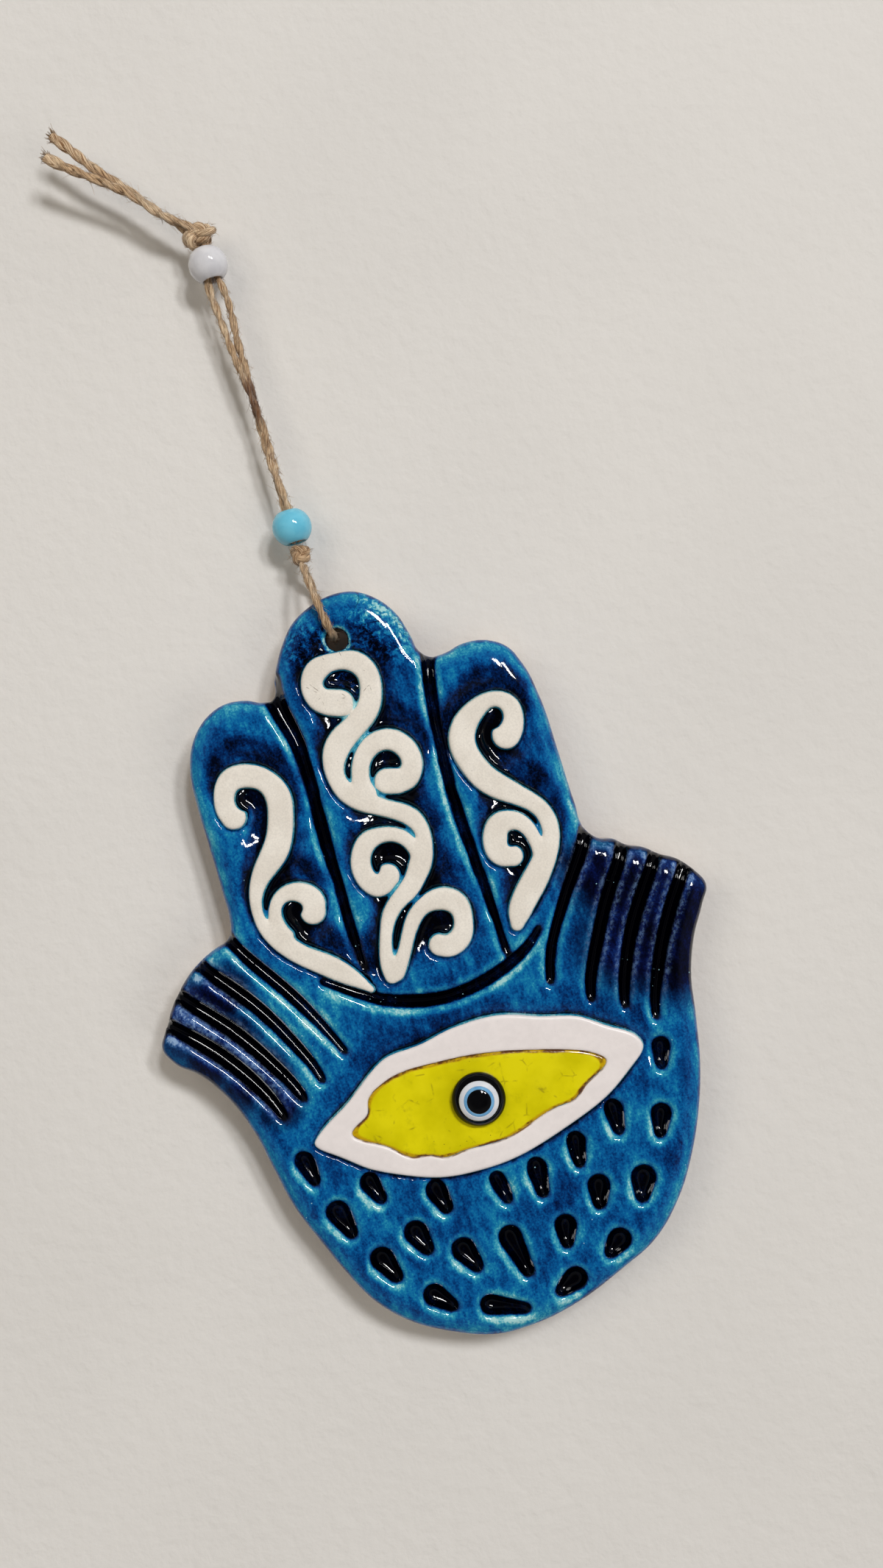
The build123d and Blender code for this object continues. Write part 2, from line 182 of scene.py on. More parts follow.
def addNode(tree, kind, inputs=None, **settings):
    node = tree.nodes.new(kind)
    for key, value in settings.items():
        setattr(node, key, value)
    for key, value in (inputs or {}).items():
        if isinstance(value, bpy.types.NodeSocket):
            tree.links.new(value, node.inputs[key])
        else:
            node.inputs[key].default_value = value
    return node


def calculate(tree, operation, first, second=0.0, clamp=False):
    node = addNode(tree, "ShaderNodeMath", {0: first, 1: second}, operation=operation, use_clamp=clamp)
    return node.outputs[0]


def spread(tree, value, low, high, toLow=0.0, toHigh=1.0):
    inputs = {"Value": value, "From Min": low, "From Max": high, "To Min": toLow, "To Max": toHigh}
    return addNode(tree, "ShaderNodeMapRange", inputs, interpolation_type="SMOOTHSTEP").outputs[0]


def times(tree, first, second):
    return calculate(tree, "MULTIPLY", first, second)


def plus(tree, first, second):
    return calculate(tree, "ADD", first, second)


def asColour(value):  # a socket, or red, green and blue from 0 to 255
    return linearColour(*value) if isinstance(value, tuple) else value


def mixColours(tree, share, first, second, blend="MIX"):
    inputs = {0: share, 6: asColour(first), 7: asColour(second)}
    return addNode(tree, "ShaderNodeMix", inputs, data_type="RGBA", blend_type=blend).outputs[2]


def mixValues(tree, share, first, second):
    return addNode(tree, "ShaderNodeMix", {0: share, 2: first, 3: second}, data_type="FLOAT").outputs[0]


def objectPlaces(tree, turn=(0, 0, 0), scale=(1, 1, 1)):
    source = addNode(tree, "ShaderNodeTexCoord").outputs["Object"]
    inputs = {"Vector": source, "Rotation": [math.radians(value) for value in turn], "Scale": scale}
    return addNode(tree, "ShaderNodeMapping", inputs).outputs[0]


def cloud(tree, places, size, detail=3.0, roughness=0.55, bend=0.0):  # size of a blotch in mm
    inputs = {"Vector": places, "Scale": 1 / (size * mm), "Detail": detail, "Roughness": roughness}
    inputs["Distortion"] = bend
    return addNode(tree, "ShaderNodeTexNoise", inputs).outputs["Fac"]


def unsteady(tree, places, size, depth, detail=3.0, roughness=0.55):  # noise about zero
    centred = calculate(tree, "SUBTRACT", cloud(tree, places, size, detail, roughness), 0.5)
    return times(tree, centred, depth)


def cells(tree, places, size, feature="F1"):
    inputs = {"Vector": places, "Scale": 1 / (size * mm), "Randomness": 1.0}
    return addNode(tree, "ShaderNodeTexVoronoi", inputs, feature=feature).outputs["Distance"]


def bentPlaces(tree, places, size, reach):  # places pushed about by noise, so that lines on them wander
    def onVectors(operation, inputs):
        return addNode(tree, "ShaderNodeVectorMath", inputs, operation=operation).outputs[0]

    push = addNode(tree, "ShaderNodeTexNoise", {"Vector": places, "Scale": 1 / (size * mm), "Detail": 2.0})
    centred = onVectors("SUBTRACT", {0: push.outputs["Color"], 1: (0.5, 0.5, 0.5)})
    scaled = onVectors("SCALE", {0: centred, "Scale": reach * mm})
    return onVectors("ADD", {0: places, 1: scaled})


def ramp(tree, value, stops):
    node = addNode(tree, "ShaderNodeValToRGB", {"Fac": value})
    elements = node.color_ramp.elements
    while len(elements) < len(stops):
        elements.new(0.5)
    for element, (place, colour) in zip(elements, stops):
        element.position = place
        element.color = linearColour(*colour)
    return node.outputs["Color"]


def attribute(tree, name):
    return addNode(tree, "ShaderNodeAttribute", attribute_name=name).outputs["Fac"]


def bumped(tree, height, depth):  # depth in mm
    return addNode(tree, "ShaderNodeBump", {"Height": height, "Distance": depth * mm}).outputs[0]


def newMaterial(name, **sockets):
    material = bpy.data.materials.new(name)
    material.use_nodes = True
    shader = material.node_tree.nodes["Principled BSDF"]
    for key, value in sockets.items():
        shader.inputs[key.replace("_", " ")].default_value = value
    return material, material.node_tree, shader, objectPlaces(material.node_tree)


def feed(shader, **sockets):
    for key, value in sockets.items():
        shader.id_data.links.new(value, shader.inputs[key.replace("_", " ")])


def newGroup(name, inputs, outputs):
    tree = bpy.data.node_groups.new(name, "ShaderNodeTree")
    for label, kind in inputs:
        tree.interface.new_socket(label, in_out="INPUT", socket_type=kind)
    for label, kind in outputs:
        tree.interface.new_socket(label, in_out="OUTPUT", socket_type=kind)
    return tree, tree.nodes.new("NodeGroupInput").outputs, tree.nodes.new("NodeGroupOutput").inputs


def useGroup(tree, group, **inputs):
    node = addNode(tree, "ShaderNodeGroup", node_tree=group)
    for key, value in inputs.items():
        value = asColour(value)
        if isinstance(value, bpy.types.NodeSocket):
            tree.links.new(value, node.inputs[key])
        else:
            node.inputs[key].default_value = value
    return node.outputs


# Shared surface effects

glazeSettings = {
    "stops": [  # from thin on the edges to thick in the hollows
        (0.00, (164, 212, 216)), (0.13, (72, 168, 190)), (0.27, (26, 128, 172)), (0.42, (10, 94, 158)),
        (0.56, (5, 62, 124)), (0.70, (3, 32, 82)), (0.84, (1, 9, 32)), (1.00, (0, 0, 4))],
    "cobaltStops": [
        (0.00, (140, 168, 206)), (0.13, (58, 92, 154)), (0.27, (14, 40, 100)), (0.42, (6, 16, 62)),
        (0.56, (3, 7, 36)), (0.72, (1, 2, 14)), (1.00, (0, 0, 3))],
    "blotch": 7.0,
    "blotchDepth": 0.60,
    "streak": 1.2,
    "streakDepth": 0.74,
    "grain": 0.34,
    "grainDepth": 0.48,
    "cobaltDepth": 0.12,
    "speck": 1.9,
    "speckColour": (150, 200, 215),
}


def buildGlazeGroup(settings):
    tree, given, wanted = newGroup(
        "pooledGlaze", [("Thickness", "NodeSocketFloat"), ("Cobalt", "NodeSocketFloat")],
        [("Colour", "NodeSocketColor"), ("Speck", "NodeSocketFloat")])
    plain = objectPlaces(tree)
    run = objectPlaces(tree, turn=(0, cameraSettings["lean"], 0), scale=(1, 1, 0.4))
    thickness = given["Thickness"]
    for part in (unsteady(tree, plain, settings["blotch"], settings["blotchDepth"], 2),
                 unsteady(tree, run, settings["streak"], settings["streakDepth"], 4, 0.65),
                 unsteady(tree, plain, settings["grain"], settings["grainDepth"], 2, 0.6),
                 times(tree, given["Cobalt"], settings["cobaltDepth"])):
        thickness = plus(tree, thickness, part)
    teal = ramp(tree, thickness, settings["stops"])
    cobalt = ramp(tree, thickness, settings["cobaltStops"])
    mixed = mixColours(tree, given["Cobalt"], teal, cobalt)
    dots = spread(tree, cells(tree, plain, settings["speck"]), 0.035, 0.06, 1, 0)
    rare = spread(tree, cloud(tree, plain, 6.0, 1), 0.55, 0.62)
    speck = times(tree, dots, rare)
    tree.links.new(mixColours(tree, speck, mixed, settings["speckColour"]), wanted["Colour"])
    tree.links.new(speck, wanted["Speck"])
    return tree


def buildClayGroup():
    tree, given, wanted = newGroup(
        "firedClay",
        [("Light", "NodeSocketColor"), ("Dark", "NodeSocketColor"), ("Grain", "NodeSocketFloat")],
        [("Colour", "NodeSocketColor"), ("Height", "NodeSocketFloat")])
    places = objectPlaces(tree)
    tone = spread(tree, cloud(tree, places, 5.0, 3), 0.35, 0.7)
    grain = addNode(tree, "ShaderNodeTexNoise", {"Vector": places, "Scale": given["Grain"], "Detail": 4.0})
    grain = grain.outputs["Fac"]
    pits = spread(tree, cells(tree, places, 0.9), 0.05, 0.11)
    colour = mixColours(tree, tone, given["Dark"], given["Light"])
    fine = spread(tree, grain, 0.3, 0.7, 0.93, 1.04)
    # painted shade in the pits, over the grain's real light and dark tone
    grainToneAndPitShade = times(tree, fine, spread(tree, pits, 0, 1, 0.8, 1.0))
    tree.links.new(mixColours(tree, 1.0, colour, grainToneAndPitShade, "MULTIPLY"), wanted["Colour"])
    tree.links.new(plus(tree, grain, pits), wanted["Height"])
    return tree


glazeGroup = buildGlazeGroup(glazeSettings)
clayGroup = buildClayGroup()


# Materials

tones = {  # red, green and blue from 0 to 255
    "backClay": (210, 180, 156), "backClayDark": (197, 164, 139),
    "wornRidge": (112, 146, 190), "glazeCrack": (3, 22, 60),
    "scrollClay": (232, 227, 219), "scrollClayDark": (223, 217, 208), "scrollHair": (120, 105, 92),
    "ringClay": (229, 223, 223), "ringClayDark": (224, 217, 217),
    "ringGlaze": (236, 230, 231), "ringStain": (150, 110, 70),
    "pool": (206, 196, 6), "poolPale": (226, 215, 12), "poolCloud": (176, 168, 14),
    "poolLine": (128, 112, 20), "poolSpeck": (90, 74, 20),
    "poolAmber": (190, 142, 10), "poolBurnt": (98, 54, 14),
    "glue": (236, 232, 214), "gluePale": (250, 248, 240),
    "jutePale": ((216, 184, 146), (240, 217, 185)), "juteDark": ((112, 74, 42), (156, 116, 78)),
    "juteStray": (232, 204, 170), "juteStain": (92, 46, 16),
    "backdrop": (215, 213, 211), "backdropPale": (219, 217, 215),
}
juteSettings = {
    "stain": (-24.0, -18.5, -16.0, -13.0),  # mm up: it starts, is full, is full still, ends
    "lay": (9.0, 1.6),       # how the fibres slant: their turns round a ply and the run along it
}


def clayIn(tree, label, grain):
    return useGroup(tree, clayGroup, Light=tones[label], Dark=tones[label + "Dark"], Grain=grain)


def handMaterial():
    material, tree, shader, places = newMaterial("cobaltTealGlaze", IOR=1.5)
    crackled = attribute(tree, "crackle")
    patches = cloud(tree, bentPlaces(tree, places, 1.0, 1.2), 0.9, 5, 0.7)
    thinner = times(tree, crackled, spread(tree, patches, 0.40, 0.66, 0.10, -0.36))
    thickness = plus(tree, attribute(tree, "glazeDepthAndShade"), thinner)
    glaze = useGroup(tree, glazeGroup, Thickness=thickness, Cobalt=attribute(tree, "cobalt"))
    clay = clayIn(tree, "backClay", 2500.0)
    edge = plus(tree, attribute(tree, "bare"), unsteady(tree, places, 2.5, 0.9, 4))
    bare = spread(tree, edge, 0.46, 0.54)
    # Dark crackle round the hanging hole
    veins = cells(tree, bentPlaces(tree, places, 1.6, 1.1), 5.2, "DISTANCE_TO_EDGE")
    cracks = spread(tree, veins, 0.004, 0.022, 1, 0)
    broken = times(tree, cracks, spread(tree, cloud(tree, places, 3.0, 2), 0.44, 0.56))
    scuffs = spread(tree, cloud(tree, places, 0.7, 5, 0.75), 0.57, 0.66, 0, 0.85)
    marks = calculate(tree, "MAXIMUM", broken, scuffs)
    crackMask = times(tree, marks, crackled)
    rubbed = spread(tree, cloud(tree, places, 0.8, 5, 0.7), 0.45, 0.62)
    wornRidge = times(tree, attribute(tree, "ridge"), rubbed)
    glazed = mixColours(tree, wornRidge, glaze["Colour"], tones["wornRidge"])
    glazed = mixColours(tree, crackMask, glazed, tones["glazeCrack"])
    feed(shader, Base_Color=mixColours(tree, bare, glazed, clay["Colour"]))
    wave = cloud(tree, places, 1.6, 3)
    glazeRough = spread(tree, cloud(tree, places, 4.0, 2), 0.3, 0.7, 0.03, 0.075)
    feed(shader, Roughness=mixValues(tree, bare, glazeRough, 0.85))
    height = mixValues(tree, bare, times(tree, wave, 0.25), clay["Height"])
    feed(shader, Normal=bumped(tree, height, 0.09))
    return material


def scrollMaterial():
    material, tree, shader, places = newMaterial("bareScrollClay", IOR=1.45)
    clay = clayIn(tree, "scrollClay", 3500.0)
    glaze = useGroup(tree, glazeGroup, Thickness=attribute(tree, "glazeDepthAndShade"), Cobalt=0.0)
    edge = plus(tree, attribute(tree, "side"), unsteady(tree, places, 1.1, 0.34, 4))
    glazed = spread(tree, edge, 0.30, 0.42)
    hairs = spread(tree, cells(tree, places, 2.6, "DISTANCE_TO_EDGE"), 0.004, 0.02, 1, 0)
    hairMask = times(tree, hairs, spread(tree, cloud(tree, places, 2.2, 2), 0.56, 0.64))
    hairMask = times(tree, hairMask, attribute(tree, "crackle"))
    top = mixColours(tree, hairMask, clay["Colour"], tones["scrollHair"])
    feed(shader, Base_Color=mixColours(tree, glazed, top, glaze["Colour"]))
    feed(shader, Roughness=mixValues(tree, glazed, 0.62, 0.1))
    feed(shader, Normal=bumped(tree, times(tree, clay["Height"], 0.5), 0.035))
    return material


def ringMaterial():
    material, tree, shader, places = newMaterial("satinWhiteGlaze", IOR=1.48)
    clay = clayIn(tree, "ringClay", 1200.0)
    glaze = useGroup(tree, glazeGroup, Thickness=attribute(tree, "glazeDepthAndShade"), Cobalt=0.0)
    edgeNoise = unsteady(tree, places, 1.3, 0.3, 4)
    glazed = spread(tree, plus(tree, attribute(tree, "side"), edgeNoise), 0.30, 0.42)
    warm = spread(tree, plus(tree, attribute(tree, "inner"), edgeNoise), 0.45, 0.9)
    even = mixColours(tree, 0.6, clay["Colour"], tones["ringGlaze"])
    stained = times(tree, warm, spread(tree, cloud(tree, places, 3.6, 3), 0.44, 0.58))
    top = mixColours(tree, stained, even, tones["ringStain"])
    feed(shader, Base_Color=mixColours(tree, glazed, top, glaze["Colour"]))
    feed(shader, Roughness=mixValues(tree, glazed, 0.32, 0.1))
    feed(shader, Normal=bumped(tree, clay["Height"], 0.012))
    return material


def yellowMaterial():
    material, tree, shader, places = newMaterial(
        "yellowPoolGlass", IOR=1.5, Coat_Weight=0.5, Coat_Roughness=0.05)
    tone = spread(tree, cloud(tree, places, 6.0, 3), 0.35, 0.7)
    base = mixColours(tree, tone, tones["pool"], tones["poolPale"])
    clouds = spread(tree, cloud(tree, places, 2.6, 5, 0.7), 0.55, 0.75, 0, 0.55)
    base = mixColours(tree, clouds, base, tones["poolCloud"])
    lines = spread(tree, cells(tree, places, 3.4, "DISTANCE_TO_EDGE"), 0.0, 0.05, 1, 0)
    fine = times(tree, lines, spread(tree, cloud(tree, places, 1.7, 3), 0.5, 0.68, 0, 0.55))
    base = mixColours(tree, fine, base, tones["poolLine"])
    specks = spread(tree, cells(tree, places, 1.5), 0.04, 0.08, 1, 0)
    specks = times(tree, specks, spread(tree, cloud(tree, places, 4.0, 2), 0.5, 0.6, 0, 0.7))
    base = mixColours(tree, specks, base, tones["poolSpeck"])
    # The glass is burnt brown where it ran thin against the ring, in places
    near = plus(tree, attribute(tree, "nearRing"), unsteady(tree, places, 3.2, 0.9, 5, 0.7))
    burnt = spread(tree, near, 0.58, 0.88)
    burnt = times(tree, burnt, spread(tree, cloud(tree, places, 3.0, 4, 0.7), 0.42, 0.58))
    amber = spread(tree, near, 0.42, 0.86, 0, 0.75)
    base = mixColours(tree, amber, base, tones["poolAmber"])
    feed(shader, Base_Color=mixColours(tree, burnt, base, tones["poolBurnt"]))
    feed(shader, Roughness=spread(tree, cloud(tree, places, 3.0, 3), 0.3, 0.7, 0.12, 0.24))
    feed(shader, Normal=bumped(tree, cloud(tree, places, 1.8, 4), 0.06))
    return material


def glassMaterial(name, colour, secondColour, roughness=0.05, subsurface=0.0, specular=0.5):
    material, tree, shader, places = newMaterial(
        name, IOR=1.52, Subsurface_Weight=subsurface, Specular_IOR_Level=specular)
    if subsurface:
        shader.inputs["Subsurface Radius"].default_value = (1.0, 1.0, 1.0)
        shader.inputs["Subsurface Scale"].default_value = 0.5 * mm
    tone = spread(tree, cloud(tree, places, 2.2, 3, 0.6, 0.6), 0.35, 0.7)
    feed(shader, Base_Color=mixColours(tree, tone, colour, secondColour))
    smears = cloud(tree, places, 0.8, 3)
    feed(shader, Roughness=spread(tree, smears, 0.35, 0.75, roughness, roughness * 2.4))
    feed(shader, Normal=bumped(tree, cloud(tree, places, 1.4, 2), 0.02))
    return material


def glueMaterial():
    material, tree, shader, places = newMaterial("clearGlue", IOR=1.47, Transmission_Weight=0.9)
    tone = spread(tree, cloud(tree, places, 0.8, 3), 0.4, 0.7)
    feed(shader, Base_Color=mixColours(tree, tone, tones["glue"], tones["gluePale"]))
    feed(shader, Roughness=spread(tree, tone, 0, 1, 0.15, 0.35))
    return material


def juteMaterial(settings):
    material, tree, shader, places = newMaterial("jute", IOR=1.4, Sheen_Weight=0.25, Sheen_Roughness=0.4)
    along = attribute(tree, "along")
    around = attribute(tree, "around")
    # Fibres lie at a slant round each ply
    turns, run = settings["lay"]
    slanted = plus(tree, times(tree, around, turns), times(tree, along, run))
    parts = {0: times(tree, along, 0.35), 1: slanted, 2: attribute(tree, "ply")}
    strip = addNode(tree, "ShaderNodeCombineXYZ", parts).outputs[0]
    inputs = {"Vector": strip, "Scale": 1.6, "Detail": 4.0, "Roughness": 0.65}
    fibre = addNode(tree, "ShaderNodeTexNoise", inputs).outputs["Fac"]
    patch = spread(tree, cloud(tree, places, 4.0, 3), 0.35, 0.68)
    pale = mixColours(tree, patch, *tones["jutePale"])
    dark = mixColours(tree, patch, *tones["juteDark"])
    colour = mixColours(tree, spread(tree, fibre, 0.40, 0.56), dark, pale)
    stray = spread(tree, fibre, 0.62, 0.74, 0, 0.7)
    colour = mixColours(tree, stray, colour, tones["juteStray"])
    # Browner for a few millimetres where the two strands meet
    height = addNode(tree, "ShaderNodeSeparateXYZ", {0: places}).outputs["Z"]
    starts, full, fullStill, ends = (value * mm for value in settings["stain"])
    stain = times(tree, spread(tree, height, starts, full), spread(tree, height, fullStill, ends, 1, 0))
    stain = times(tree, stain, spread(tree, fibre, 0.35, 0.65, 1.0, 0.65))
    feed(shader, Base_Color=mixColours(tree, stain, colour, tones["juteStain"]))
    feed(shader, Roughness=spread(tree, fibre, 0.3, 0.7, 0.75, 0.55))
    feed(shader, Normal=bumped(tree, fibre, 0.20))
    return material


def backdropMaterial():
    material, tree, shader, places = newMaterial("palePaint", Roughness=0.75, IOR=1.4)
    dimple = cloud(tree, places, 2.0, 3, 0.5)
    patch = spread(tree, cloud(tree, places, 60.0, 2), 0.3, 0.7)
    feed(shader, Base_Color=mixColours(tree, patch, tones["backdrop"], tones["backdropPale"]))
    feed(shader, Normal=bumped(tree, dimple, 0.22))
    # Seen from behind it is clear, also to the light, so that the back of the piece shows
    clear = addNode(tree, "ShaderNodeBsdfTransparent")
    behind = addNode(tree, "ShaderNodeNewGeometry").outputs["Backfacing"]
    passed = addNode(tree, "ShaderNodeLightPath").outputs["Transparent Depth"]
    seeThrough = calculate(tree, "MAXIMUM", behind, passed, clamp=True)
    mixed = addNode(tree, "ShaderNodeMixShader", {0: seeThrough, 1: shader.outputs[0], 2: clear.outputs[0]})
    tree.links.new(mixed.outputs[0], tree.nodes["Material Output"].inputs["Surface"])
    return material


materials = {
    "hand": handMaterial(),
    "scroll": scrollMaterial(),
    "ring": ringMaterial(),
    "yellow": yellowMaterial(),
    "blackGlass": glassMaterial("blackGlass", (3, 3, 5), (8, 8, 11), 0.04, specular=0.25),
    "pupilGlass": glassMaterial("pupilGlass", (4, 4, 6), (9, 9, 12), 0.03),
    "whiteGlass": glassMaterial("whiteGlass", (226, 230, 238), (214, 220, 232), 0.05, 0.3),
    "lightBlueGlass": glassMaterial("lightBlueGlass", (122, 178, 222), (100, 160, 212), 0.05, 0.2),
    "blueBead": glassMaterial("blueBeadGlass", (120, 202, 228), (106, 192, 221), 0.015, 0.35),
    "whiteBead": glassMaterial("whiteBeadGlass", (220, 220, 225), (209, 209, 215), 0.015, 0.35),
    "glue": glueMaterial(),
    "jute": juteMaterial(juteSettings),
    "backdrop": backdropMaterial(),
}
print("materials made")


# The front's relief as a map of each spot's Y, in mm

scrollNames = ["left_finger_scroll", "middle_finger_scroll", "right_finger_scroll"]
reliefSettings = {
    "step": 0.3,
    "margin": 3.0,
    "padLevel": -4.35,
    "proudPieces": [*scrollNames, "eye_white_ring", "eye_yellow_pool"],
}


def blurred(values, weights, size):  # a soft mean over the spots that count
    reach = int(math.ceil(3 * size))
    shifts = range(-reach, reach + 1)

    def run(grid):
        for axis in (0, 1):
            parts = (np.roll(grid, shift, axis) * math.exp(-0.5 * (shift / size) ** 2) for shift in shifts)
            grid = sum(parts)
        return grid

    return run(values * weights) / np.maximum(run(weights.astype(float)), 1e-6)


def share(weights, size):  # how much of the surroundings counts
    everywhere = np.ones_like(weights, float)
    return blurred(weights.astype(float), everywhere, size)


def castFront(tree, xs, zs):
    front = np.full((len(xs), len(zs)), np.nan)
    start, ahead = -0.03, Vector((0, 1, 0))
    for i, x in enumerate(xs):
        for j, z in enumerate(zs):
            hit = tree.ray_cast(Vector((x * mm, start, z * mm)), ahead)
            if hit[0] is not None:
                front[i, j] = hit[0].y / mm
    return front


def readRelief(settings):
    low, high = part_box("clay_hand")
    step, margin = settings["step"], settings["margin"]
    xs = np.arange(low.x / mm - margin, high.x / mm + margin, step)
    zs = np.arange(low.z / mm - margin, high.z / mm + margin, step)
    hand = castFront(nodeTree("clay_hand"), xs, zs)
    proud = np.full_like(hand, np.nan)
    scroll = np.zeros(hand.shape, bool)
    for name in settings["proudPieces"]:
        corner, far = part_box(name)
        across = np.nonzero((xs > corner.x / mm - step) & (xs < far.x / mm + step))[0]
        upward = np.nonzero((zs > corner.z / mm - step) & (zs < far.z / mm + step))[0]
        patch = castFront(nodeTree(name), xs[across], zs[upward])
        window = np.ix_(across, upward)
        proud[window] = np.fmin(proud[window], patch)
        if name in scrollNames:
            scroll[window] |= ~np.isnan(patch)
    inside = ~np.isnan(hand)
    hand = np.where(inside, hand, 0)
    onProud = ~np.isnan(proud)
    whole = np.where(onProud, proud, hand)
    return {"xs": xs, "zs": zs, "step": step, "hand": hand, "whole": whole,
            "inside": inside, "proud": onProud, "scroll": scroll}


def sampled(grid, places):  # bilinear, at the right and up of each place
    u = np.clip((places[:, 0] - relief["xs"][0]) / relief["step"], 0, len(relief["xs"]) - 1.001)
    v = np.clip((places[:, 2] - relief["zs"][0]) / relief["step"], 0, len(relief["zs"]) - 1.001)
    i, j = u.astype(int), v.astype(int)
    s, t = u - i, v - j
    return (grid[i, j] * (1 - s) * (1 - t) + grid[i + 1, j] * s * (1 - t)
            + grid[i, j + 1] * (1 - s) * t + grid[i + 1, j + 1] * s * t)


def unevenness(seed, size):  # a steady random field of about unit height
    generator = np.random.default_rng(seed)
    field = generator.standard_normal(relief["whole"].shape)
    field = blurred(field, np.ones_like(field), size / relief["step"])
    return field / field.std()


relief = readRelief(reliefSettings)
print("relief read", relief["whole"].shape)


# The hand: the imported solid, remeshed, its pads eased down to the scroll troughs

handSettings = {
    "voxel": 0.34,
    "rounds": 3,
    "markReach": 0.50,       # mm over which the pressed marks' edges are softened
    "fill": 0.70,            # share of the trough that glaze fills below and left of a scroll
    "meniscus": 0.70,        # mm that glaze climbs on a scroll's upper right side
    "climbBelow": 0.35,      # mm that it stays below the scrolls' tops
    "edgeFall": 0.85,        # mm that the front falls away towards its outline
    "slopeReach": 0.95,      # mm over which the pads slope down beside the scrolls
    "hole": (2.06, -56.42),  # mm right and up
    "waveSize": 4.0,
    "waveDepth": 0.07,
    "waveBase": 0.05,        # mm that the waves sink on average
    "rippleSize": 1.1,
    "rippleDepth": 0.018,
    "mostTriangles": 190000,
    "bareFrom": 0.4,         # mm towards the back where the glaze ends on the side
    "bareTo": 2.6,
    "glazedRim": 2.2,        # mm from the hole's middle within which the clay is glazed right through
    "ridgeWear": 0.6,
    "cobaltSpots": [         # pixels right and down, and the reach
        (800, 1180, 50), (845, 1200, 85), (905, 1220, 100), (925, 1290, 90), (860, 1280, 90),
        (262, 1385, 78), (300, 1425, 72), (345, 1462, 60), (380, 1500, 40), (300, 1350, 50)],
    "crackleSpots": [(520, 850, 62), (470, 905, 52), (420, 880, 44)],
}


def spotMask(right, down, spots):
    mask = np.zeros_like(right)
    for spotRight, spotDown, reach in spots:
        away = np.hypot(right - spotRight, down - spotDown)
        mask = np.maximum(mask, 1 - smoothStep(0.45 * reach, 1.15 * reach, away))
    return mask


def softenedFront(settings):  # the front with the edges of its pressed marks softened
    near = blurred(relief["hand"], relief["inside"], settings["markReach"] / relief["step"])
    wide = blurred(relief["hand"], relief["inside"], settings["slopeReach"] / relief["step"])
    underScroll = smoothStep(0.10, 0.40, scrollUnder)
    filled = settings["fill"] * smoothStep(0.08, 0.36, proudLitUp) * (1 - underScroll)
    bare = 1 - smoothStep(0.30, 0.60, covered)
    wide = wide + (reliefSettings["padLevel"] - wide) * filled * bare
    front = near * (1 - besideProud) + wide * besideProud
    climbed = front - settings["meniscus"] * smoothStep(0.12, 0.75, scrollLitDown) * bare
    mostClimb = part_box("middle_finger_scroll")[0].y / mm + settings["climbBelow"]
    return np.maximum(climbed, np.minimum(front, mostClimb))


def holeDistance(places):
    return np.hypot(places[:, 0] - handSettings["hole"][0], places[:, 2] - handSettings["hole"][1])


thicknessSettings = {        # shares of the way from the thinnest glaze to the thickest; some terms are painted light and painted shade
    "base": 0.465,
    "overEdges": -0.20,
    # painted light on the side of each mark that faces the lamps
    "paintedLightBesideMarks": -0.17,
    "inHollows": 0.07,
    # painted shade above the scrolls, where the pads slope away from the lamps
    "inMarks": 0.62,
    "shadeAboveScrolls": 0.28,
    "ringShare": 0.40,       # how much of that painted shade lies above the eye ring
    "onTips": 0.07,
    "tipsBelow": (1100, 980),  # pixels down over which the fingertips begin
    "nearOutline": -0.15,
    "atScrolls": 0.10,
    # pooled glaze and painted shade inside the curls
    "poolAndShadeInCurls": 0.32,
    "onOutline": 0.33,
    "onHoleRim": 0.14,
    "holeRim": (1.6, 1.8, 1.95, 2.4),  # mm from the hole's middle
    # mm from the hole's middle inside which the glaze is near black: pooled glaze and painted shade
    "holeInside": 1.72,
    "deepest": 2.4,          # mm under the pads
}


# Glaze thickness picks the colour; on the hand it also carries painted light and painted shade
def glazeDepthAndShade(places, settings):
    def at(grid):
        return sampled(grid, places)

    tight = smoothStep(0.08, 0.34, at(proudShareTight))
    # glaze pooled in the hollows inside the curls, darkened further as painted shade where the scrolls
    # close round them
    curlPoolAndShade = smoothStep(0.38, 0.58, at(proudShareWide))
    # painted shade: darker glaze over the pad above each scroll and, more weakly, above the ring
    shadedAbove = smoothStep(0.16, 0.44, at(scrollUnder))
    shadedAbove = np.maximum(shadedAbove, settings["ringShare"] * smoothStep(0.16, 0.44, at(proudUnder)))
    beside = at(besideProud)
    depth = np.clip(at(softFront) - reliefSettings["padLevel"], 0, settings["deepest"])
    bend = at(softBend)
    thin = smoothStep(0.01, 0.15, bend) * (1 - 0.6 * beside)
    # painted light: the glaze colour is lighter on the lamp-facing side of each pressed mark
    litSide = smoothStep(0.12, 0.80, at(markLitSide))
    hollow = smoothStep(0.01, 0.12, -bend)
    marked = smoothStep(0.32, 0.88, depth) * (1 - beside)
    unmarked = 1 - marked
    tips = smoothStep(*settings["tipsBelow"], pictureOf(places)[1])
    outward = 1 - smoothStep(0.55, 0.90, at(insideShareWide))
    thickness = settings["base"] + settings["overEdges"] * thin + settings["paintedLightBesideMarks"] * litSide * unmarked
    thickness += settings["inHollows"] * hollow + settings["inMarks"] * marked
    thickness += settings["shadeAboveScrolls"] * shadedAbove * unmarked + settings["onTips"] * tips
    thickness += settings["nearOutline"] * outward * unmarked
    thickness += settings["atScrolls"] * tight + settings["poolAndShadeInCurls"] * curlPoolAndShade * beside
    edge = smoothStep(0.40, 0.80, at(insideShare))
    thickness = thickness * edge + settings["onOutline"] * (1 - edge)
    away = holeDistance(places)
    inner, full, outer, gone = settings["holeRim"]
    rim = smoothStep(inner, full, away) * (1 - smoothStep(outer, gone, away))
    thickness = thickness * (1 - rim) + settings["onHoleRim"] * rim
    # pooled glaze and painted shade: the hole's inside takes the thickest, near-black glaze colour
    thickness = np.where(away < settings["holeInside"], 1.0, thickness)
    return np.clip(thickness, 0, 1)


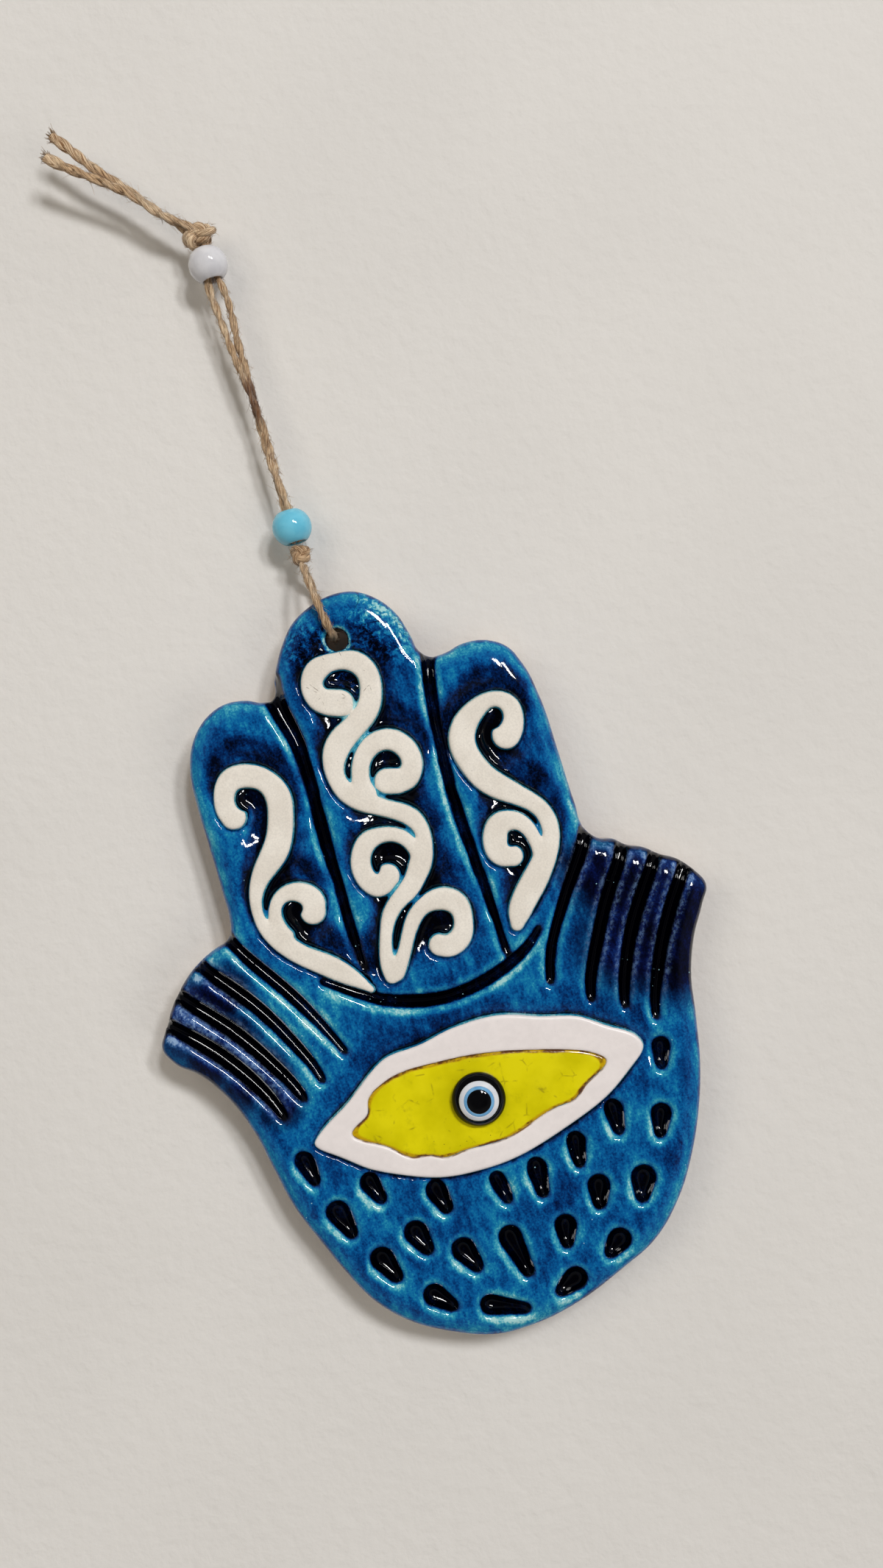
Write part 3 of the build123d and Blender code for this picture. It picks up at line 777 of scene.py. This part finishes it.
def easeHand(places, settings):
    front = 1 - smoothStep(0.0, 3.0, places[:, 1])
    onFront = smoothStep(0.56, 0.80, sampled(insideShare, places))
    onFront *= (1 - smoothStep(0.0, 1.0, places[:, 1])) * smoothStep(1.9, 2.7, holeDistance(places))
    moved = places.copy()
    moved[:, 1] += (sampled(softFront, places) - places[:, 1]) * onFront
    outward = 1 - smoothStep(0.5, 1.0, sampled(insideShareWide, places))
    moved[:, 1] += settings["edgeFall"] * outward * front
    wave = sampled(unevenness(5, settings["waveSize"]), places) * settings["waveDepth"]
    ripple = sampled(unevenness(11, settings["rippleSize"]), places) * settings["rippleDepth"]
    moved[:, 1] += np.clip(wave + ripple + settings["waveBase"], 0, None) * front
    return moved


def thinned(mesh, mostTriangles):
    triangles = sum(len(face.vertices) - 2 for face in mesh.polygons)
    if triangles <= mostTriangles:
        return mesh
    holder = added("thinHolder", mesh)
    decimate = holder.modifiers.new("thin", "DECIMATE")
    decimate.ratio = mostTriangles / triangles
    return finishedMesh(holder)


def buildHand(settings):
    mesh = remeshed("clay_hand", settings["voxel"], settings["rounds"])
    places = readPlaces(mesh)
    writePlaces(mesh, easeHand(places, settings))
    mesh = thinned(mesh, settings["mostTriangles"])
    places = readPlaces(mesh)
    writeAttribute(mesh, "glazeDepthAndShade", glazeDepthAndShade(places, thicknessSettings))
    right, down = pictureOf(places)
    cobalt = spotMask(right, down, settings["cobaltSpots"])
    writeAttribute(mesh, "cobalt", cobalt)
    ridge = smoothStep(0.07, 0.22, sampled(softBend, places)) * (1 - smoothStep(0.0, 1.5, places[:, 1]))
    writeAttribute(mesh, "ridge", settings["ridgeWear"] * ridge * cobalt)
    writeAttribute(mesh, "crackle", spotMask(right, down, settings["crackleSpots"]))
    bare = (places[:, 1] - settings["bareFrom"]) / (settings["bareTo"] - settings["bareFrom"])
    atHole = holeDistance(places) < settings["glazedRim"]
    writeAttribute(mesh, "bare", np.where(atHole, 0, np.clip(bare, 0, 1.2)))
    shadeSmooth(mesh)
    piece = addPiece("glazed_hand", mesh, "hand", "blue_glaze", materials["hand"])
    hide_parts("clay_hand")


mapSettings = {              # mm over which each map is blurred, or by which it is moved
    "tight": 0.6,
    "wide": 2.0,
    "cover": 0.25,
    "pressed": 0.5,
    "mark": 0.7,
    "bend": 0.55,
    "edge": 0.9,
    "wideEdge": 2.4,
    "under": 3.0,
    "litUp": -2.6,
    "litDown": 0.7,
    "litSide": (-0.5, -0.9),    # right and up: painted light, lighter below and left of each mark, where its wall faces the lamps
    "lit": (0.78, 0.63),     # right and up, towards the bars that make the highlights
    "pressedDepth": 1.5,
}


def shareWithin(name, label):
    return share(relief[name], mapSettings[label] / relief["step"])


def beyond(grid, way, distance):  # what lies a few mm back from each spot
    return np.roll(grid, [round(distance / relief["step"] * part) for part in way], (0, 1))


lean = math.radians(cameraSettings["lean"])
pictureUp = (math.sin(lean), math.cos(lean))
proudShareTight = shareWithin("proud", "tight")
proudShareWide = shareWithin("proud", "wide")
scrollUnder = beyond(shareWithin("scroll", "wide"), pictureUp, mapSettings["under"])
proudUnder = beyond(proudShareWide, pictureUp, mapSettings["under"])
proudLitUp = beyond(proudShareWide, mapSettings["lit"], mapSettings["litUp"])
scrollLitDown = beyond(shareWithin("scroll", "tight"), mapSettings["lit"], mapSettings["litDown"])
covered = shareWithin("proud", "cover")
padDepth = np.clip(relief["hand"] - reliefSettings["padLevel"], 0, thicknessSettings["deepest"])
padDepth *= relief["inside"]
pressed = share(padDepth > mapSettings["pressedDepth"], mapSettings["pressed"] / relief["step"])
besideProud = smoothStep(0.02, 0.22, proudShareWide) * (1 - smoothStep(0.10, 0.45, pressed))
markDepth = blurred(padDepth * (1 - besideProud), relief["inside"], mapSettings["mark"] / relief["step"])
markLitSide = beyond(markDepth, mapSettings["litSide"], 1.0)
softFront = softenedFront(handSettings)
softBend = blurred(softFront, relief["inside"], mapSettings["bend"] / relief["step"]) - softFront
insideShare = shareWithin("inside", "edge")
insideShareWide = shareWithin("inside", "wideEdge")
buildHand(handSettings)
print("hand made")


# Scrolls and eye ring: remeshed copies, softened, glazed on their sides

proudSettings = {
    "voxel": 0.17,
    "rounds": 12,
    "waveSize": 1.6,
    "waveDepth": 0.05,
    "sideDepth": 0.85,       # mm from the top to where a side is fully glazed
    "sideGlaze": (0.14, 0.46),  # thickness at the top of a side, and how much is added below
    "poolBulge": 0.10,       # mm that the pool's middle stands over its edge
    "poolEdge": 0.8,         # mm over which the pool's outline is blurred
    "poolRounds": 2,
    "poolWave": (1.8, 0.03),  # mm across and mm deep
    "crackleSpots": [(470, 912, 60), (445, 930, 40)],
}


def softenProud(nodeName, settings, seed):
    mesh = remeshed(nodeName, settings["voxel"], settings["rounds"])
    places = readPlaces(mesh)
    top = places[:, 1].min()
    below = places[:, 1] - top
    writeAttribute(mesh, "side", np.clip(below / settings["sideDepth"], 0, 1.2))
    thinnest, more = settings["sideGlaze"]
    writeAttribute(mesh, "glazeDepthAndShade", thinnest + more * smoothStep(0.5, 1.4, below))
    right, down = pictureOf(places)
    writeAttribute(mesh, "crackle", spotMask(right, down, settings["crackleSpots"]))
    wave = sampled(unevenness(seed, settings["waveSize"]), places) * settings["waveDepth"]
    places[:, 1] += np.clip(wave, -0.03, 0.2) * (1 - smoothStep(0.3, 1.0, below))
    writePlaces(mesh, places)
    return mesh


def buildScrolls(settings):
    for number, nodeName in enumerate(scrollNames):
        mesh = softenProud(nodeName, settings, 20 + number)
        shadeSmooth(mesh)
        piece = addPiece(nodeName + "_raised", mesh, "hand", "bare_clay", materials["scroll"])
        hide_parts(nodeName)


def buildEye(settings):
    ringMesh = softenProud("eye_white_ring", settings, 31)
    poolTree = nodeTree("eye_yellow_pool")
    places = readPlaces(ringMesh)
    near = [poolTree.find_nearest(Vector(place * mm))[3] / mm for place in places]
    writeAttribute(ringMesh, "inner", 1 - smoothStep(0.0, 0.35, np.array(near)))
    shadeSmooth(ringMesh)
    ring = addPiece("eye_ring_soft", ringMesh, "hand", "pale_clay", materials["ring"])
    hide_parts("eye_white_ring")
    poolMesh = remeshed("eye_yellow_pool", settings["voxel"], settings["poolRounds"])
    places = readPlaces(poolMesh)
    floor = places[:, 1].max()
    top = places[:, 1].min()
    onTop = (floor - places[:, 1]) / (floor - top)
    poolMask = ~np.isnan(castFront(poolTree, relief["xs"], relief["zs"]))
    within = sampled(share(poolMask, settings["poolEdge"] / relief["step"]), places)
    writeAttribute(poolMesh, "nearRing", 1 - smoothStep(0.5, 0.98, within))
    waveSize, waveDepth = settings["poolWave"]
    wave = sampled(unevenness(41, waveSize), places) * waveDepth
    bulge = settings["poolBulge"] * smoothStep(0.55, 0.98, within)
    places[:, 1] += (wave - bulge + 0.02) * smoothStep(0.5, 1.0, onTop)
    writePlaces(poolMesh, places)
    shadeSmooth(poolMesh)
    pool = addPiece("eye_pool_glass", poolMesh, "hand", "yellow_glass", materials["yellow"])
    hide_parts("eye_yellow_pool")


buildScrolls(proudSettings)
buildEye(proudSettings)
print("scrolls and eye made")


# Cabochon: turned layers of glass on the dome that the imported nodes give

cabochonSettings = {
    "steps": 96,
    "edgeRound": 0.12,
    "crownFoot": 0.8,        # mm of straight side under the dome
    "layerDepth": 0.4,       # mm that the coloured glass goes down
    "arcInset": 0.05,
    "arcPoints": {"body": 10, "ring": 6, "pupil": 12},
}


def turned(profile, middle, steps, axis=(0, 1, 0)):
    # Spins a profile of (out, along) in mm round an axis through the middle
    bm = bmesh.new()
    across = Vector((1, 0, 0))
    line = [bm.verts.new(middle + (across * out + Vector(axis) * along) * mm) for out, along in profile]
    edges = [bm.edges.new(pair) for pair in zip(line, line[1:])]
    bmesh.ops.spin(
        bm, geom=line + edges, cent=middle, axis=axis, angle=math.tau, steps=steps, use_merge=True)
    bmesh.ops.remove_doubles(bm, verts=bm.verts, dist=0.002 * mm)
    bmesh.ops.recalc_face_normals(bm, faces=bm.faces)
    mesh = bpy.data.meshes.new("turned")
    bm.to_mesh(mesh)
    bm.free()
    shadeSmooth(mesh)
    return mesh


def buildCabochon(settings):
    low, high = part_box("cabochon_black_glass")
    middle = Vector(((low.x + high.x) / 2, high.y, (low.z + high.z) / 2))
    radius = (high.x - low.x) / 2 / mm
    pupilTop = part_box("cabochon_pupil")[0].y
    height = (high.y - pupilTop) / mm
    whiteOut = (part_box("cabochon_white_ring")[1].x - middle.x) / mm
    blueOut = (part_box("cabochon_blue_ring")[1].x - middle.x) / mm
    pupilOut = (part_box("cabochon_pupil")[1].x - middle.x) / mm
    crownFoot = settings["crownFoot"]
    crown = height - crownFoot
    ball = (radius ** 2 + crown ** 2) / (2 * crown)

    def dome(out):
        return height - ball + math.sqrt(ball ** 2 - out ** 2)

    floor = dome(whiteOut) - settings["layerDepth"]

    def arc(start, end, count):
        return [start + (end - start) * number / (count - 1) for number in range(count)]

    foot, points = settings["edgeRound"], settings["arcPoints"]
    black = [(0, 0), (radius - foot, 0), (radius, -foot), (radius, -crownFoot + foot)]
    black += [(out, -dome(out)) for out in arc(radius - settings["arcInset"], whiteOut, points["body"])]
    black += [(whiteOut, -floor), (0, -floor)]
    layers = [("black", black, "cabochon_black_glass", "black_glass", "blackGlass")]
    ringShapes = [("white_ring", whiteOut, blueOut, "whiteGlass", "white_glass"),
                  ("blue_ring", blueOut, pupilOut, "lightBlueGlass", "light_blue_glass")]
    for label, outer, inner, materialName, slotName in ringShapes:
        shape = [(inner, -floor), (outer, -floor)]
        shape += [(out, -dome(out)) for out in arc(outer, inner, points["ring"])]
        shape.append((inner, -floor))
        layers.append((label, shape, "cabochon_" + label, slotName, materialName))
    pupil = [(0, -floor), (pupilOut, -floor)]
    pupil += [(out, -dome(out)) for out in arc(pupilOut, 0.0, points["pupil"])]
    layers.append(("pupil", pupil, "cabochon_pupil", "black_glass", "pupilGlass"))
    for label, shape, nodeName, slotName, materialName in layers:
        mesh = turned(shape, middle, settings["steps"])
        piece = addPiece("button_" + label, mesh, "hand", slotName, materials[materialName])
        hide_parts(nodeName)


buildCabochon(cabochonSettings)
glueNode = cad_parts["cabochon_glue"]
glueNode.data.materials.clear()
glueNode.data.materials.append(materials["glue"])
print("cabochon made")


# Beads: turned glass with a bore and softened rims

beadSettings = {
    "steps": 64,
    "bore": 1.475,
    "rimRound": 0.22,
    "squash": 0.985,
    "lip": (0.06, 0.03),     # mm out from the bore and down from the rim
    "boreChamfer": 0.18,
    "profilePoints": 24,
}


def buildBead(nodeName, slotName, material, settings):  # its body bears the node's name
    low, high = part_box(nodeName)
    middle = (low + high) / 2
    radius = (high.x - low.x) / 2 / mm
    bore = settings["bore"]
    rimAngle = math.asin((bore + settings["rimRound"]) / radius)
    profile = []
    for number in range(settings["profilePoints"] + 1):
        angle = rimAngle + (math.pi - 2 * rimAngle) * number / settings["profilePoints"]
        profile.append((radius * math.sin(angle), radius * math.cos(angle) * settings["squash"]))
    end = profile[-1][1]
    lipOut, lipDown = settings["lip"]
    straight = end + settings["boreChamfer"]
    profile.append((bore + lipOut, end - lipDown))
    profile += [(bore, straight), (bore, 0), (bore, -straight), (bore + lipOut, lipDown - end)]
    profile.append(profile[0])
    mesh = turned(profile, middle, settings["steps"], (0, 0, 1))
    piece = addPiece(nodeName + "_glass", mesh, nodeName, slotName, material)
    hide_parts(nodeName)


buildBead("white_bead", "white_glass", materials["whiteBead"], beadSettings)
buildBead("blue_bead", "light_blue_glass", materials["blueBead"], beadSettings)
print("beads made")


# Twine: two plies laid round each route, with stray fibres

twineSettings = {
    "diameter": 1.25,
    "plyRadius": 0.365,
    "plyOffset": 0.235,
    "layLength": 6.4,
    "step": 0.16,
    "looseEnd": 0.9,         # how much fatter a ply is at its free end
    "looseRun": 9.0,         # mm over which it grows
    "freeSeeds": (3, 4),     # the tubes that begin with a free end
    "sides": 3,              # bevel resolution of a ply
    "fibreRadius": 0.030,
    "fibresPerMm": 14.0,
    "fibreReach": 1.0,
    "loopDeepest": 5.0,      # mm along Y, short of the backdrop, for the loop's fibres
    "frayed": [(0, 60, 1.5)],  # the end's index on the line, fibres there and their reach
}

leftTwineRoute = [
    (-16.7, -1.7, 28.4), (-14.7, -1.5, 25.9), (-12.8, -1.2, 23.0), (-10.5, -0.8, 20.5),
    (-7.7, -0.4, 17.4), (-5.1, -0.2, 13.8), (-1.5, 0.1, 9.6), (-0.67, 0.0, 6.9),
    (-0.66, 0.0, 1.9), (-1.04, 0.0, 0.0),
    (-0.76, 0.0, -3.4), (-0.45, 0.0, -8.8), (0.15, -0.45, -14.6), (0.75, -0.35, -21.0), (0.7, 0.4, -28.0),
    (0.1, 0.35, -34.0), (0.0, 0.0, -40.2)]
rightTwineRoute = [
    (-18.4, -2.3, 25.4), (-15.8, -2.2, 22.9), (-13.0, -2.1, 20.8), (-10.4, -2.0, 18.7),
    (-7.5, -1.8, 16.2), (-5.0, -1.6, 12.7), (-0.4, -1.3, 9.4), (0.67, 0.0, 6.9),
    (0.66, 0.0, 1.9), (1.16, 0.0, 0.0),
    (1.32, 0.0, -3.2), (0.75, 0.0, -8.9), (0.85, 0.4, -14.6), (0.25, 0.45, -21.0), (0.2, -0.4, -28.0),
    (0.85, -0.4, -34.0), (0.95, 0.0, -40.2)]
holeLoopRoute = [
    (0.4, -0.9, -43.9), (0.5, -3.2, -46.1), (0.8, -5.4, -49.4), (1.66, -5.35, -55.6),
    (1.76, -0.6, -55.76), (1.66, 4.15, -55.6), (0.8, 4.25, -49.4), (0.5, 2.7, -46.1),
    (0.4, 0.9, -43.9)]


def newCurve(name, radius=0.0, sides=0):
    data = bpy.data.curves.new(name, "CURVE")
    data.dimensions = "3D"
    data.bevel_depth = radius * mm
    data.bevel_resolution = sides
    return data


def routeLine(route):  # points in mm along the route's smooth line
    data = newCurve("route")
    data.resolution_u = 24
    spline = data.splines.new("NURBS")
    spline.points.add(len(route) - 1)
    for point, place in zip(spline.points, route):
        point.co = (*(value * mm for value in place), 1)
    spline.order_u = 3
    spline.use_endpoint_u = True
    return readPlaces(finishedMesh(added("route", data)))


def evenly(line, step):
    runs = np.linalg.norm(np.diff(line, axis=0), axis=1)
    far = np.concatenate([[0], np.cumsum(runs)])
    wanted = np.linspace(0, far[-1], max(int(far[-1] / step), 8))
    return np.stack([np.interp(wanted, far, line[:, axis]) for axis in range(3)], axis=1), wanted


def carriedFrames(line):  # two directions across the line, carried along without twisting
    ways = np.gradient(line, axis=0)
    ways /= np.linalg.norm(ways, axis=1)[:, None]
    first = np.cross(ways[0], (0, 1, 0.2))
    first /= np.linalg.norm(first)
    across = [first]
    for way in ways[1:]:
        side = across[-1] - way * np.dot(across[-1], way)
        across.append(side / np.linalg.norm(side))
    across = np.array(across)
    return ways, across, np.cross(ways, across)


def plyTubes(line, settings, seed, name, fullness=1.0):
    line, far = evenly(line, settings["step"])
    _, across, up = carriedFrames(line)
    generator = random.Random(seed)
    phase = generator.uniform(0, math.tau)
    data = newCurve(name, settings["plyRadius"] * fullness, settings["sides"])
    data.use_fill_caps = True
    wobble = [generator.uniform(0, 9) for _ in range(4)]
    free = seed in settings["freeSeeds"]
    for ply in range(2):
        spline = data.splines.new("POLY")
        spline.points.add(len(line) - 1)
        for number, point in enumerate(spline.points):
            s = far[number]
            lay = math.tau * s / settings["layLength"] + phase + ply * math.pi
            lay += 0.35 * math.sin(s / 3.1 + wobble[0]) + 0.2 * math.sin(s / 1.3 + wobble[1])
            offset = settings["plyOffset"] * fullness * (1 + 0.10 * math.sin(s / 2.3 + wobble[2]))
            place = line[number] + (across[number] * math.cos(lay) + up[number] * math.sin(lay)) * offset
            point.co = (*(place * mm), 1)
            loose = settings["looseEnd"] * math.exp(-s / settings["looseRun"]) if free else 0
            swell = 0.08 * math.sin(s / 1.7 + wobble[3] + 2 * ply)
            point.radius = 1 + loose + swell + generator.uniform(-0.03, 0.03)
    mesh = finishedMesh(added(name, data))
    ringCount = 4 + 2 * settings["sides"]
    index = np.arange(len(mesh.vertices))
    perPly = len(line) * ringCount
    ring = (index % perPly) // ringCount
    writeAttribute(mesh, "along", far[np.clip(ring, 0, len(far) - 1)])
    turn = (index % ringCount) / ringCount
    writeAttribute(mesh, "around", np.abs(2 * turn - 1))  # there and back, so that it meets itself
    writeAttribute(mesh, "ply", (index // perPly) * 7.3 + seed)
    shadeSmooth(mesh)
    return mesh


def strayFibres(line, settings, seed, name, frayed=(), deepest=None, spare=1.0):
    line, far = evenly(line, 0.25)
    ways, across, up = carriedFrames(line)
    generator = random.Random(seed)
    data = newCurve(name, settings["fibreRadius"])

    def fibre(start, lean, bend, reach, thickness):
        spline = data.splines.new("POLY")
        spline.points.add(4)
        for number, point in enumerate(spline.points):
            share = number / 4
            place = start + lean * reach * share + bend * reach * share * share
            if deepest is not None:
                place[1] = min(place[1], deepest)
            point.co = (*(place * mm), 1)
            point.radius = thickness * (1 - 0.6 * share)

    for _ in range(int(far[-1] * settings["fibresPerMm"])):
        at = generator.randrange(1, len(line) - 1)
        angle = generator.uniform(0, math.tau)
        out = across[at] * math.cos(angle) + up[at] * math.sin(angle)
        side = np.cross(ways[at], out)
        start = line[at] + out * 0.5 * settings["diameter"] * spare * generator.uniform(0.75, 0.98)
        way = ways[at] * generator.choice((-1, 1))
        lean = way * generator.uniform(0.5, 1.2) + out * generator.uniform(0.1, 0.7)
        lean += side * generator.uniform(-0.5, 0.5)
        bend = out * generator.uniform(-0.5, 0.3) + side * generator.uniform(-0.4, 0.4)
        reach = settings["fibreReach"] * generator.uniform(0.4, 1.0)
        reach *= 2.0 if generator.random() < 0.08 else 1
        fibre(start, lean, bend, reach, generator.uniform(0.7, 1.3))
    for at, count, reach in frayed:
        way = -ways[0] if at == 0 else ways[-1]
        for _ in range(count):
            out = across[at] * generator.uniform(-1, 1) + up[at] * generator.uniform(-1, 1)
            start = line[at] + out * 0.42 - way * 0.8
            lean = way + out * generator.uniform(0.1, 0.55)
            fibre(start, lean, out * generator.uniform(-0.3, 0.5), reach * generator.uniform(0.5, 1.1), 2.4)
    mesh = finishedMesh(added(name, data))
    index = np.arange(len(mesh.vertices))
    writeAttribute(mesh, "along", index * 0.031)
    writeAttribute(mesh, "around", (index % 5) * 0.2)
    writeAttribute(mesh, "ply", index * 0.0)
    shadeSmooth(mesh)
    return mesh


def buildTwine(nodeName, route, body, seed):
    line = routeLine(route)
    even, far = evenly(line, 0.5)
    print(nodeName, "centreline", round(far[-1], 2), "mm")
    mesh = plyTubes(line, twineSettings, seed, nodeName)
    twine = addPiece(nodeName + "_plies", mesh, body, "jute", materials["jute"])
    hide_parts(nodeName)
    deepest = twineSettings["loopDeepest"] if nodeName == "hole_loop" else None
    frayed = [] if nodeName == "hole_loop" else twineSettings["frayed"]
    fuzzMesh = strayFibres(line, twineSettings, seed + 50, nodeName + "Fuzz", frayed, deepest)
    fuzz = addPiece(nodeName + "_fibres", fuzzMesh, body, "jute", materials["jute"])


# Knots: the twine's own turns, drawn tight

knotSettings = {
    "points": 150,
    "upper": {"reach": (2.0, 0.95, 1.05), "slant": 14.0, "fullness": 1.65, "seed": 61, "fibres": 75},
    "lower": {"reach": (0.95, 0.70, 0.90), "slant": -8.0, "fullness": 1.5, "seed": 67, "fibres": 73},
}


def buildKnot(nodeName, body, settings):  # an overhand knot of the doubled twine
    low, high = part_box(nodeName)
    middle = np.array((low + high) / 2) / mm
    start = math.pi / 3  # there the line's ends meet in the knot's middle
    t = np.linspace(start, math.tau + start, knotSettings["points"])
    out = 0.66 + 0.34 * np.cos(3 * t)
    x = out * np.cos(2 * t) * settings["reach"][0]
    z = out * np.sin(2 * t) * settings["reach"][2]
    slant = math.radians(settings["slant"])
    line = np.stack([x * math.cos(slant) - z * math.sin(slant), np.sin(3 * t) * settings["reach"][1],
                     x * math.sin(slant) + z * math.cos(slant)], axis=1) + middle
    mesh = plyTubes(line, twineSettings, settings["seed"], nodeName + "Turns", settings["fullness"])
    knot = addPiece(nodeName + "_turns", mesh, body, "jute", materials["jute"])
    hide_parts(nodeName)
    fuzzMesh = strayFibres(
        line, twineSettings, settings["fibres"], nodeName + "Fuzz", spare=settings["fullness"])
    addPiece(nodeName + "_fibres", fuzzMesh, body, "jute", materials["jute"])


buildKnot("upper_knot", "cord", knotSettings["upper"])
buildKnot("lower_knot", "lower_knot", knotSettings["lower"])
buildTwine("left_twine", leftTwineRoute, "cord", 3)
buildTwine("right_twine", rightTwineRoute, "cord", 4)
buildTwine("hole_loop", holeLoopRoute, "hole_loop", 6)
print("cord made")


# Backdrop and light

stageSettings = {
    "backdropAt": 5.2,
    "size": 2400.0,
    "lampTarget": (3, 0, -95),
    "world": 0.10,
    "worldAhead": 0.02,      # the unlit room straight ahead of the front
    "aheadEnds": (-0.9, -0.7),  # parts of the way along Y
    "behindStarts": (0.0, 0.4),
    "worldBehind": 0.75,     # lights the back alone, as the backdrop hides it from the front
    "worldSeen": 0.85,       # what the camera sees past the backdrop's edges
}
lampSettings = [  # name, way from the hand, distance mm, width, height, share of a full light, colour
    ("leftBar", (0.326, -0.87, 0.381), 2400, 220, 460, 0.325, (1.0, 0.995, 0.985)),
    ("rightBar", (0.481, -0.83, 0.270), 2400, 220, 460, 0.325, (1.0, 0.995, 0.985)),
    ("softFill", (-0.38, -0.78, 0.36), 2400, 1400, 1400, 0.29, (1.0, 0.90, 0.75)),
    ("lowFill", (0.50, -0.70, -0.45), 2400, 1400, 1400, 0.18, (1.0, 0.93, 0.83)),
]


def addBackdrop(settings):
    bm = bmesh.new()
    bmesh.ops.create_grid(bm, x_segments=1, y_segments=1, size=settings["size"] / 2 * mm)
    bmesh.ops.rotate(bm, verts=bm.verts, matrix=Matrix.Rotation(math.pi / 2, 3, "X"))
    bmesh.ops.translate(bm, verts=bm.verts, vec=Vector((0, settings["backdropAt"], 0)) * mm)
    mesh = bpy.data.meshes.new("wall")
    bm.to_mesh(mesh)
    bm.free()
    mesh.materials.append(materials["backdrop"])
    sheet = added("wall", mesh)


def addLamps(settings):
    target = Vector(settings["lampTarget"]) * mm
    for name, way, distance, width, height, level, colour in lampSettings:
        data = bpy.data.lights.new(name, "AREA")
        data.shape = "RECTANGLE"
        data.size = width * mm
        data.size_y = height * mm
        data.energy = level * (math.pi * distance * mm) ** 2
        data.color = colour
        lamp = added(name, data)
        lamp.visible_glossy = name.endswith("Bar")  # the bars alone make the highlights
        outward = Vector(way).normalized()
        lamp.location = target + outward * distance * mm
        lamp.rotation_euler = outward.to_track_quat("Z", "Y").to_euler()


def addWorld(settings):
    world = bpy.data.worlds.new("room")
    world.use_nodes = True
    tree = world.node_tree
    background = tree.nodes["Background"]
    background.inputs["Color"].default_value = linearColour(250, 249, 247)
    way = addNode(tree, "ShaderNodeTexCoord").outputs["Generated"]
    into = addNode(tree, "ShaderNodeSeparateXYZ", {0: way}).outputs["Y"]
    around = spread(tree, into, *settings["aheadEnds"], settings["worldAhead"], settings["world"])
    around = mixValues(tree, spread(tree, into, *settings["behindStarts"]), around, settings["worldBehind"])
    ray = addNode(tree, "ShaderNodeLightPath").outputs
    seen = calculate(tree, "MAXIMUM", ray["Is Camera Ray"], ray["Is Transmission Ray"])
    strength = mixValues(tree, seen, around, settings["worldSeen"])
    tree.links.new(strength, background.inputs["Strength"])
    scene.world = world


addBackdrop(stageSettings)
addLamps(stageSettings)
addWorld(stageSettings)
print("stage and lamps set")
